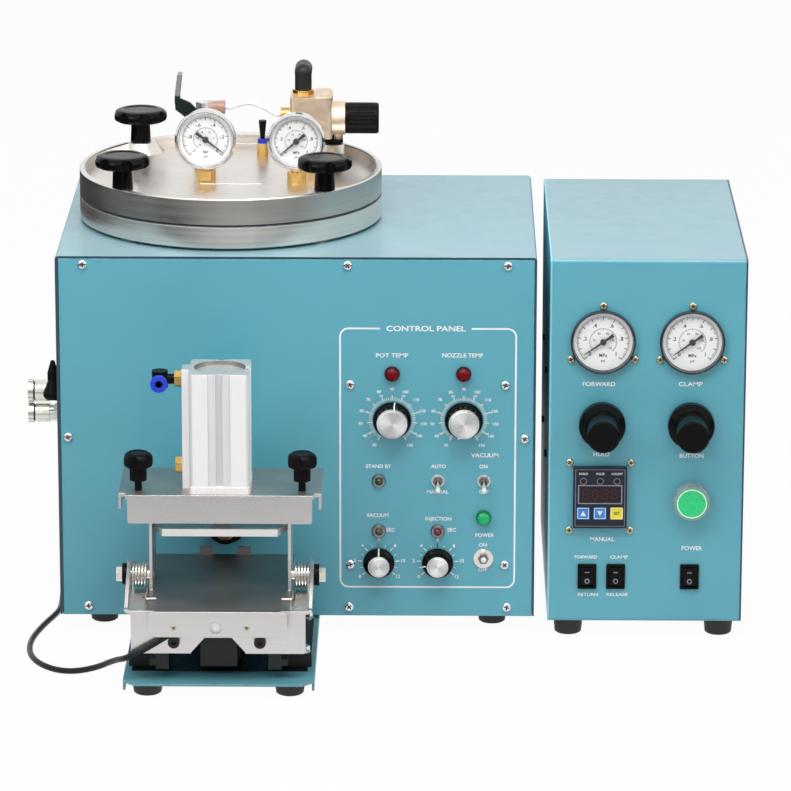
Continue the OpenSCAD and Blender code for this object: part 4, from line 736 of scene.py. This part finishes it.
# Screws with their cross recesses, base bolts and their spacers
FRONT_SCREWS = [(23, 305), (243, 305), (376, 305), (9, 156), (391, 156), (24, 8), (244, 8), (377, 8),
                (245, 202.5), (374.5, 202.5), (245, 45.5), (375, 45.5)]
bm = bmesh.new()
for k, (x, z) in enumerate(FRONT_SCREWS):
    screw(bm, (x, 0, z), (0, -1, 0), 3.9, 2.2, turn=37 * k)
for i, x in enumerate(BOX_GAUGES.values()):
    for k, a in enumerate((90, 210, 330)):
        u, v = polar((x, BOX_GAUGE_Z), 30.6, a)
        screw(bm, (u, BOX_Y, v), (0, -1, 0), mi=1, turn=23 * k + 50 * i)
for k, (sx, sz) in enumerate(((-1, -1), (-1, 1), (1, -1), (1, 1))):
    screw(bm, (TIMER_X + 25.5 * sx, BOX_Y, TIMER_Z + 29.5 * sz), (0, -1, 0), mi=1, turn=29 * k)
for k, (y, z) in enumerate(((81, 120), (81, 194), (187, 120), (187, 194))):
    screw(bm, (411, y, z), (-1, 0, 0), mi=2, turn=31 * k)
    screw(bm, (574, y, z), (1, 0, 0), mi=2, turn=17 * k)
for x in (90.5, 190.5):
    for y in (20, 45):
        screw(bm, (x, y, 1.5), (0, 0, 1), shank=4.5, turn=x + y)
        lathe(bm, stand((x, y, -3), (0, 0, 1)), [(1.7, 0), (5, 0), (5, 3), (1.7, 3), (1.7, 0)], 32)
bmesh.ops.recalc_face_normals(bm, faces=bm.faces)
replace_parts(piece("cross_screws", bm, ["chrome", "yellow_zinc", "oxide", "recess"], "machine"), "panel_screws")
bm = bmesh.new()
for x, z in ((105, 45.5), (164.1, 45.7)):
    screw(bm, (x, -172.5, z), (0, -1, 0), 2.3, 0.6, 0.1, turn=x, pit=1)
bmesh.ops.recalc_face_normals(bm, faces=bm.faces)
piece("lamp_screws", bm, ["yellow_zinc", "recess"], "mould_frame")

# Painted shadow lines along the edges of the cylinder's channel: thin dark strips
bm = bmesh.new()
c_lo, c_hi = [[1000 * v[i] + SHIFT[i] for i in range(3)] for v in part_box("air_cylinder")]
edge_y = c_lo[1] + 1.5
for x, w in ((-9, 0.5), (9, -0.5), (-2.6, -0.5), (2.6, 0.5)):
    a, b = sorted((LINE_X + x, LINE_X + x + w))
    box_at(bm, (a, edge_y - 0.12, c_lo[2] + 6), (b, edge_y + 0.1, c_hi[2] - 0.4))
piece("channel_shadow_lines", bm, "shadow_line", "mould_frame", False)

# Painted shade under the slides: a thin black sheet on the base plate
SHADE_SHEET_HALF = 72
bm = bmesh.new()
box_at(bm, (LINE_X - SHADE_SHEET_HALF, -138, -2.98), (LINE_X + SHADE_SHEET_HALF, -28, -2.6))
piece("shade_sheet_under_slides", bm, "black", "machine", False)

# Bright strip across the lid's tray
TRAY_Z = 347
bm = bmesh.new()
box_at(bm, (116, 113.6, TRAY_Z + 0.02), (168, 115.4, TRAY_Z + 0.6))
piece("tray_strip", bm, "press_top", "lid", False)


# Gauge faces
def tick(bm, c, r0, r1, a, width, to3, mi=0):
    """A radial line on a dial."""
    quad_strip(bm, [polar(c, r0, a), polar(c, r1, a)], width, to3, False, mi)


def gauge_angle(share):
    """Angle of a share of the gauge's scale, which runs clockwise from the lower left."""
    return 225 - 270 * share


def gauge_face(name, c, y, R, figures, inner, unit, body):
    """Printed dial with an outer and an inner scale."""
    bm = bmesh.new()
    disc(bm, c, R, front(y), 64)
    ink = front(y - 0.07)
    ring(bm, c, 0.88 * R, 0.010 * R, ink, 72, 2, -45, 225)
    for k in range(101):
        r1, w = (0.75, 0.024) if k % 10 == 0 else (0.79, 0.018) if k % 5 == 0 else (0.82, 0.012)
        tick(bm, c, 0.88 * R, r1 * R, gauge_angle(k / 100), w * R, ink, 1 if k % 5 == 0 else 2)
    for k, t in enumerate(figures):
        words(bm, t, 0.19 * R, polar(c, 0.62 * R, gauge_angle(k / (len(figures) - 1))), ink, 1)
    ring(bm, c, 0.46 * R, 0.012 * R, ink, 60, 2, -45, 225)
    for k in range(31):
        r1 = 0.39 if k % 5 == 0 else 0.42
        tick(bm, c, 0.46 * R, r1 * R, gauge_angle(k / 30), 0.014 * R, ink, 2)
    for k, t in enumerate(inner):
        words(bm, t, 0.105 * R, polar(c, 0.31 * R, gauge_angle(k / (len(inner) - 1))), ink, 2)
    words(bm, unit, 0.16 * R, (c[0], c[1] - 0.48 * R), ink, 1)
    words(bm, "psi", 0.13 * R, (c[0], c[1] - 0.66 * R), ink, 2)
    piece(name, bm, ["dial", "ink", "fine_ink"], body, False)


def lens(name, c, y, R, body):
    """Slightly domed gauge glass."""
    bm = bmesh.new()
    lathe(bm, stand((c[0], y, c[1]), (0, -1, 0)), [(R, 0), (0.86 * R, 0.22), (0.5 * R, 0.42), (0, 0.5)], 48)
    piece(name, bm, "glass", body)


MPA, PSI = ["0", ".2", ".4", ".6", ".8", "1"], ["0", "30", "60", "90", "120", "150"]
gauge_face("vacuum_dial", VACUUM_GAUGE, 116.9, 22.3, ["-1", "-.8", "-.6", "-.4", "-.2", "0"],
           ["30", "24", "18", "12", "6", "0"], "bar", "lid")
gauge_face("pressure_dial", PRESSURE_GAUGE, 110.9, 20.8, MPA, PSI, "MPa", "lid")
lens("vacuum_lens", VACUUM_GAUGE, 113.2, 22.6, "lid")
lens("pressure_lens", PRESSURE_GAUGE, 107.2, 21.1, "lid")
for n, x in BOX_GAUGES.items():
    gauge_face(n + "_dial", (x, BOX_GAUGE_Z), BOX_Y - 0.62, 24.6, MPA, PSI, "MPa", "machine")
    lens(n + "_lens", (x, BOX_GAUGE_Z), BOX_Y - 4.1, 24.4, "machine")

# Prints on the cabinet's front
bm = bmesh.new()
ink = front(-0.08)
x0, x1, z0, z1, cr = 236.6, 383.1, 25.5, 251.0, 7.0
loop = [(346, z1)]
for cx, cz, a in ((x1 - cr, z1 - cr, 90), (x1 - cr, z0 + cr, 0), (x0 + cr, z0 + cr, -90),
                  (x0 + cr, z1 - cr, 180)):
    loop += [polar((cx, cz), cr, a - 90 * k / 8) for k in range(9)]
loop.append((270, z1))
quad_strip(bm, loop, 1.5, ink)
words(bm, "CONTROL PANEL", 6.4, (308, 250.8), ink, wide=66)
for t, x, z, w in (("POT TEMP", 279.8, 227.7, 27), ("NOZZLE TEMP", 338.6, 227.9, 34),
                   ("VACUUM", 357.8, 141.3, 23), ("ON", 356.7, 131.5, None), ("OFF", 356.9, 109.4, None),
                   ("AUTO", 319, 131.5, None), ("MANUAL", 318.3, 109.2, None), ("STAND BY", 268.6, 131.4, None),
                   ("VACUUM", 267.9, 88.5, None), ("INJECTION", 319, 85.6, None), ("SEC", 278.9, 75.7, None),
                   ("SEC", 330.3, 75.9, None), ("POWER", 357.8, 71.3, None), ("ON", 356.7, 62.8, None),
                   ("OFF", 356.5, 40.8, None)):
    words(bm, t, 5.0 if w else 4.5, (x, z), ink, wide=w)
TEMP_START, TEMP_SPAN = 236, 292
for c in [d[1] for d in DIALS[:2]]:
    for k in range(61):
        r1, width = (21.2, 0.75) if k % 5 == 0 else (19.6, 0.5)
        tick(bm, c, 16.8, r1, TEMP_START - TEMP_SPAN * k / 60, width, ink)
    for k in range(13):
        words(bm, str(30 + 10 * k), 3.6, polar(c, 26.6, TEMP_START - TEMP_SPAN * k / 12), ink)
    for k in range(6):
        words(bm, str(100 + 40 * k), 2.3, polar(c, 22.6, TEMP_START - TEMP_SPAN * (2 * k + 1) / 12), ink)
TIME_START, TIME_SPAN = 218, 256
for c in [d[1] for d in DIALS[2:]]:
    for k in range(13):
        r1, width = (17.4, 0.8) if k % 2 == 0 else (16.2, 0.55)
        tick(bm, c, 14.0, r1, TIME_START - TIME_SPAN * k / 12, width, ink)
    for k in range(7):
        words(bm, str(2 * k), 4.2, polar(c, 20.2, TIME_START - TIME_SPAN * k / 6), ink)
    quad_strip(bm, [(c[0], c[1] + 14.0), (c[0], c[1] + 17.4)], 0.9, ink)
piece("panel_print", bm, "white", "machine", False)

# Prints on the control box's front
bm = bmesh.new()
ink = front(BOX_Y - 0.08)
for t, x, z, w in (("FORWARD", 452, 207.2, 27), ("CLAMP", 528.1, 207.5, 20), ("HOLD", 454.8, 146.5, None),
                   ("BUTTON", 530, 145.5, None), ("MANUAL", 456.3, 72.3, None), ("POWER", 531.5, 64.7, None),
                   ("FORWARD", 443, 56.6, 19), ("CLAMP", 470.7, 56.7, 15), ("RETURN", 445, 23.6, 17),
                   ("RELEASE", 469.5, 23.7, 18)):
    words(bm, t, 3.9 if w and w < 20 else 5.0, (x, z), ink, wide=w)
piece("box_print", bm, "white", "machine", False)

# Painted shade of the seam along the cabinet's left front edge: a dark strip just in front of it
bm = bmesh.new()
quad_strip(bm, [(1.6, 2), (1.6, 310)], 3.0, front(-0.06))
piece("edge_seam_shade", bm, "seam", "machine", False)

# Timer face
KEY_STEP, DISPLAY_Z, LAMP_Z, NAME_Z = 14, TIMER_Z + 3, TIMER_Z + 14.5, TIMER_Z + 20.9
face, window, digit = front(BOX_Y - 5.12), front(BOX_Y - 4.3), front(BOX_Y - 4.36)
key, mark = front(BOX_Y - 5.56), front(BOX_Y - 5.6)
SEGMENTS = (((-1.9, 4), (1.9, 4)), ((-1.9, 0), (1.9, 0)), ((-1.9, -4), (1.9, -4)), ((-2.4, 0.4), (-2.4, 3.6)),
            ((2.4, 0.4), (2.4, 3.6)), ((-2.4, -3.6), (-2.4, -0.4)), ((2.4, -3.6), (2.4, -0.4)))
SLANT = 0.1
bm = bmesh.new()
quad_strip(bm, corners(TIMER_X, TIMER_Z, 20.6, 24.6), 0.35, face, True, 1)
quad_strip(bm, corners(TIMER_X, DISPLAY_Z, 18, 7.8), 0.9, face, True, 1)
for k, t in ((-1, "HOLD"), (0, "PULSE"), (1, "COUNT")):
    x = TIMER_X + KEY_STEP * k
    ring(bm, (x, LAMP_Z), 2.6, 0.5, face, 24, 1)
    words(bm, t, 2.6, (x, NAME_Z), face)
    disc(bm, (x, LAMP_Z), 1.9, front(BOX_Y - 4.15), 20, 2)
v = [bm.verts.new(window(*p)) for p in corners(TIMER_X, DISPLAY_Z, 17.4, 7.2)]
bm.faces.new(v).material_index = 2
for d in range(4):
    x = TIMER_X - 12 + 8 * d
    for bar in SEGMENTS:
        quad_strip(bm, [(x + u + SLANT * v, DISPLAY_Z + v) for u, v in bar], 0.7, digit, False, 3)
for k in (-1, 0, 1):
    x = TIMER_X + KEY_STEP * k
    quad_strip(bm, corners(x, KEY_Z, 4.5, 4.4), 0.45, key, True)
    if k < 1:
        h = 2.2 if k < 0 else -2.2
        tri = [(x - 2.4, KEY_Z - h), (x + 2.4, KEY_Z - h), (x, KEY_Z + h)]
        bm.faces.new([bm.verts.new(mark(*p)) for p in (tri if k < 0 else tri[::-1])])
    else:
        words(bm, "SET", 3.4, (x, KEY_Z), mark, 4)
piece("timer_print", bm, ["white", "timer_grey", "display", "segment", "ink"], "machine", False)

# Rocker marks lie on each rocker's two flats
LEAN, ROCKER_Z = math.radians(-8), 40


def rocker_flat(rx):
    """Places 2-D points just above the flats of a rocker that leans as at rest."""
    def place(u, v):
        w = 3.4 + abs(v) * 2.0 / 9 + 0.07
        b = v * math.cos(LEAN) - w * math.sin(LEAN)
        c = v * math.sin(LEAN) + w * math.cos(LEAN) - 1
        return P(rx + u, BOX_Y - c, ROCKER_Z + b)

    return place


for n, rx in (("forward_rocker", 444), ("clamp_rocker", 468), ("power_rocker", 530)):
    bm = bmesh.new()
    quad_strip(bm, [(-2.0, 3.4), (2.0, 3.4)], 0.7, rocker_flat(rx))
    ring(bm, (0, -4.0), 1.7, 0.6, rocker_flat(rx), 24)
    piece(n + "_marks", bm, "timer_grey", n, False)

# Pointers let into the dial knobs, and the start button's ring
HALF_WIDTH = 0.55
for n, c, turn, skirt, cap in DIALS:
    bm = bmesh.new()
    t = math.radians(turn)
    e, q = (math.sin(t), math.cos(t)), (math.cos(t), -math.sin(t))
    path = [(cap + 0.15, -13.5), (cap + 1.45, -13.5), (cap + 2.5, -5.5), (skirt + 0.05, -5.5),
            (skirt + 0.1, -3.4)]
    rows = [[bm.verts.new(P(c[0] + r * e[0] + s * q[0], y, c[1] + r * e[1] + s * q[1]))
             for s in (-HALF_WIDTH, HALF_WIDTH)] for r, y in path]
    for a, b in zip(rows, rows[1:]):
        bm.faces.new((a[1], a[0], b[0], b[1]))
    bmesh.ops.recalc_face_normals(bm, faces=bm.faces)
    piece(n + "_pointer", bm, "white", n, False)
bm = bmesh.new()
ring(bm, BUTTON, 12.1, 1.0, front(-24.47), 48)
piece("button_ring", bm, "white", "start_button", False)

# Stage: white floor, white surroundings, a shaded apron that only polished metal sees
f = Tree("floor_white")
f.t.nodes.remove(f.b)
diffuse = f.new("ShaderNodeBsdfDiffuse")
diffuse.inputs[0].default_value = (0.66, 0.66, 0.66, 1)
f.show(f.math("MULTIPLY", f.seen(), 0.965), diffuse.outputs[0], f.flat("ShaderNodeEmission", 1.0))


def sheet_on_floor(name, mat, half, z):
    """A square sheet of the stage, from its half side."""
    bm = bmesh.new()
    bm.faces.new([bm.verts.new((x, y, z)) for x, y in corners(0, 0, half, half)])
    o = add(name, bm, [mat])
    return o


sheet_on_floor("floor", f.mat, 9, 0)
a = Tree("shaded_apron")
a.t.nodes.remove(a.b)
sep = a.new("ShaderNodeSeparateXYZ")
a.link(a.co, sep.inputs[0])
depth = sep.outputs[1]
near_far = a.math("MULTIPLY", a.span(depth, 0.34, 0.95, -1.2, -0.35), a.span(depth, 1.0, 0.07, 0.3, 0.75))
side = a.span(a.math("ABSOLUTE", sep.outputs[0]), 1.0, 0.07, 0.48, 0.95)
glow = a.new("ShaderNodeEmission")
a.link(a.math("MULTIPLY", near_far, side), glow.inputs[0])
glow.inputs[1].default_value = 1.0
a.link(glow.outputs[0], a.out.inputs[0])
apron = sheet_on_floor("apron", a.mat, 8, 0.0004)
for ray in ("camera", "diffuse", "shadow", "transmission"):
    setattr(apron, "visible_" + ray, False)

world = bpy.data.worlds.new("studio")
scene.world = world
w = Nodes(world, "ShaderNodeOutputWorld")
w.show(w.seen(), w.flat("ShaderNodeBackground", 0.30), w.flat("ShaderNodeBackground", 1.0))


def lamp(name, at, aim, size, watts):
    d = bpy.data.lights.new(name, "AREA")
    d.shape = "RECTANGLE"
    d.size, d.size_y = size
    d.energy = watts
    o = bpy.data.objects.new(name, d)
    scene.collection.objects.link(o)
    o.location = at
    o.rotation_euler = (Vector(aim) - Vector(at)).to_track_quat("-Z", "Y").to_euler()
    return o


AIM = (0, 0, 0.15)
lamp("key_left", (-1.5, -1.5, 1.7), AIM, (1.0, 1.0), 12.5)
lamp("fill_right", (1.7, -1.4, 1.2), AIM, (1.2, 1.2), 7.5)
lamp("front_top", (0.05, -0.75, 1.55), AIM, (1.2, 0.5), 15.5)
lamp("top", (0.0, 0.3, 2.0), (0, 0, 0.2), (1.6, 1.2), 9).visible_glossy = False
scene.view_settings.view_transform = "Standard"

# Finishes of the part's own solids: first the nodes of one finish, then those with rules
PLAIN = {
    # The clamp's base plate takes the darker teal, a painted shade
    "teal": ("front_panel", "chassis"), "teal_shaded_base": ("clamp_base",), "rubber": ("rubber_feet",),
    "band": ("heater_band",), "copper": ("nozzle_tip",), "lever": ("ball_valve_lever",),
    "lever_tip": ("mode_toggle", "vacuum_toggle", "power_toggle"), "sheet_z": ("carriage",),
    "ink": ("vacuum_needle", "pressure_needle", "forward_needle", "clamp_needle"),
    "oxide": ("carriage_slides",), "press_top": ("press_plate",), "gauge_rim": ("box_gauges",),
    "black": ("lid_regulator_knob", "left_head_knob", "right_head_knob", "forward_rocker", "clamp_rocker",
              "power_rocker"),
    "zinc": ("box_regulators",), "gloss": ("forward_reg_knob", "clamp_reg_knob"),
    "green_cap": ("start_button",), "chrome": ("panel_screws",), "spring": ("torsion_springs",),
    "sheath": ("sensor_cord",), "tube": ("lid_tube",)}
for finish, nodes in PLAIN.items():
    for n in nodes:
        dress(n, finish)


def off(cu, cv, u, v):
    """Distance of a place from a centre, in a plane."""
    return math.hypot(u - cu, v - cv)


def near(p, r0, r1, y1):
    """Test for faces between two radii round a place on the panel, in front of y1."""
    return lambda x, y, z, n: y < y1 and r0 <= off(*p, x, z) < r1


RIM_R = 126


def on_rim(x, y):
    return off(LINE_X, POT_Y, x, y) > RIM_R


# Cabinet and control box
# The tops of cabinet and box take the lighter teal, a painted sheen
SHEEN_TOP = ("teal_sheen_top", lambda x, y, z, n: n.z > 0.6 and z > 300)
# The cover's front rim faces take the dark seam teal, a painted shade
dress("cabinet_cover", "teal", SHEEN_TOP, ("seam", lambda x, y, z, n: n.y < -0.9 and y < 0.1))
dress("box_shell", "teal", SHEEN_TOP)
# The box's left side takes the brighter teal, painted light
dress("box_sides", "teal", ("teal_lit_side", lambda x, y, z, n: x < 500),
      # the right side's front and top rims take the dark seam teal, a painted shade
      ("seam", lambda x, y, z, n: x > 500 and abs(n.x) < 0.5 and (n.y < -0.2 or n.z > 0.2)))
dress("control_gear", "board", ("black", lambda x, y, z, n: x < 285),
      ("copper", lambda x, y, z, n: y > 175 and x > 285))
COUPLER_Y0, COUPLER_Y1, COUPLER_MID_Z = 30.5, 50, 175.5
GROOVE_X0, GROOVE_X1 = -22.6, -20.9


def ring_face(x, y, n):
    """True round the knurled ring of either coupler."""
    return x < GROOVE_X0 and COUPLER_Y0 < y < COUPLER_Y1 and abs(n.x) < 0.5


# The couplers' groove takes the dark recess colour, a painted shade
dress("side_fittings", "satin",
      ("recess", lambda x, y, z, n: GROOVE_X0 < x < GROOVE_X1 and COUPLER_Y0 < y < COUPLER_Y1),
      ("knurl_a", lambda x, y, z, n: ring_face(x, y, n) and z > COUPLER_MID_Z),
      ("knurl_b", lambda x, y, z, n: ring_face(x, y, n) and z < COUPLER_MID_Z),
      ("black", lambda x, y, z, n: y < COUPLER_Y0 or y > 100))
RED_LAMPS, POWER_LAMP = ((280, 212), (339.6, 212)), (357, 87)
TOGGLES = ((318.5, 119), (357, 119), (357, 51))
LEDS = (("led_green", (269, 119)), ("led_amber", (269, 75)), ("led_red", (318.5, 75)))
# The panel's bezels take the dark metal, a painted dark reflection
dress("panel_fittings", "nickel",
      *[("red_lamp", near(p, 0, 7, 0.2)) for p in RED_LAMPS],
      # the lenses' outer rings take the dimmer copies, a painted shade
      *[("red_rim", near(p, 5.2, 7, 0.2)) for p in RED_LAMPS],
      ("green_lamp", near(POWER_LAMP, 0, 7, 0.2)),
      ("green_rim", near(POWER_LAMP, 5.2, 7, 0.2)),
      *[("satin", near(p, 4.3, 9, 0)) for p in TOGGLES],
      *[(led, near(p, 0, 3, -0.7)) for led, p in LEDS])
for i, d in enumerate(DIALS):
    dress(d[0], "gloss", ("spun_%d" % i, lambda x, y, z, n: y < -13.35))
KEY_BACK_Y, SET_KEY_X = -18.05, 460
dress("box_modules", "black", ("grey_ring", lambda x, y, z, n: off(*BUTTON, x, z) < 15.6),
      ("timer_face", lambda x, y, z, n: abs(x - TIMER_X) < 22.6 and abs(z - TIMER_Z) < 26.6 and y < -12),
      ("key_blue", lambda x, y, z, n: y < KEY_BACK_Y and abs(z - KEY_Z) < 5.4 and x < SET_KEY_X),
      ("key_yellow", lambda x, y, z, n: y < KEY_BACK_Y and abs(z - KEY_Z) < 5.4 and SET_KEY_X < x < 480))

# Pot and lid
PARTING_Z = 1000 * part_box("lid")[0][2] + SHIFT[2]
# The chamfers at the pot's and lid's parting line take the dark recess colour: painted shade in the groove
dress("wax_pot", "pot",
      ("recess", lambda x, y, z, n: 0.3 < n.z < 0.95 and abs(z - PARTING_Z) < 2 and on_rim(x, y)))
# The lid's upright side takes the darker metal, a painted shade
dress("lid", "lid", ("lid_shaded_side", lambda x, y, z, n: abs(n.z) < 0.3 and on_rim(x, y)),
      ("recess", lambda x, y, z, n: -0.95 < n.z < -0.3 and z < PARTING_Z + 2 and on_rim(x, y)))
dress("nozzle_block", "brass", ("black", lambda x, y, z, n: y < 0.5 and off(LINE_X, 82, x, z) > 9.05))
for k in range(4):
    dress("lid_knob_%d" % (k + 1), "gloss", ("chrome", lambda x, y, z, n: z < 356))
STEM_Z, VACUUM_RIM_Y, PRESSURE_RIM_Y = 359.5, 118.1, 112.1
dress("lid_gauges", "chrome", ("brass", lambda x, y, z, n: z < STEM_Z),
      ("case_white", lambda x, y, z, n: z > STEM_Z and y > (VACUUM_RIM_Y if x < 160 else PRESSURE_RIM_Y)))
dress("lid_regulator", "zinc", ("black", lambda x, y, z, n: z < 372))
PUSH_IN, PUSH_IN_Z = (165, 224), 358.2
dress("lid_fittings", "brass",
      ("oxide", lambda x, y, z, n: z > 413.2 and x > 180),
      ("black", lambda x, y, z, n: off(*PUSH_IN, x, y) < 6 and z > PUSH_IN_Z),
      ("blue", lambda x, y, z, n: off(*PUSH_IN, x, y) < 6 and PUSH_IN_Z < z < 362.1),
      ("case_white", lambda x, y, z, n: z > 393.1 and x < 150),
      ("brown", lambda x, y, z, n: z > 390 and 122.9 < x < 150),
      ("blue", lambda x, y, z, n: z > 390 and 130 < x < 150 and n.x > 0.7))

# Clamp
dress("slide_unit", "oxide", ("chrome", lambda x, y, z, n: z > 8.6 and abs(x - LINE_X) > 63.6))
dress("pivot_bolts", "satin", ("black", lambda x, y, z, n: 76.6 < abs(x - LINE_X) < 80.9))
dress("table_lamp", "black", ("lens_lit", lambda x, y, z, n: y < -167.05))
# The table's top and its back tabs take the darker steel, a painted shade
dress("mould_table", "sheet_x", ("shaded_top", lambda x, y, z, n: n.z > 0.7),
      ("shaded_top", lambda x, y, z, n: abs(x - LINE_X) < 25 and y > -20 and z > 59.2))
# The head plate's top takes the darker steel, a painted shade
dress("head_plate", "head", ("head_top", lambda x, y, z, n: n.z > 0.7))
CHANNEL_Y, SLOT_Y, SLOT_END_Y, BORE_Y = -115.05, -112.6, -108, -90.5
# The channel's floor, the slot and its walls take darker copies of the anodising: painted shade
dress("air_cylinder", "anodised",
      ("groove", lambda x, y, z, n: n.y < -0.4 and CHANNEL_Y < y < SLOT_Y),
      ("slot", lambda x, y, z, n: n.y < -0.4 and SLOT_Y < y < SLOT_END_Y),
      ("slot", lambda x, y, z, n: abs(n.x) > 0.4 and abs(x - LINE_X) < 9.5 and y < SLOT_END_Y),
      ("cyl_top", lambda x, y, z, n: n.z > 0.7 and z > 230),
      # the bore's walls take the grey steel, a painted shade
      ("bore", lambda x, y, z, n: z > 237.9 and abs(n.z) < 0.5 and off(LINE_X, BORE_Y, x, y) < 21.2))
dress("cylinder_fittings", "brass", ("black", lambda x, y, z, n: x < 103.4),
      ("blue", lambda x, y, z, n: y < -105.4))
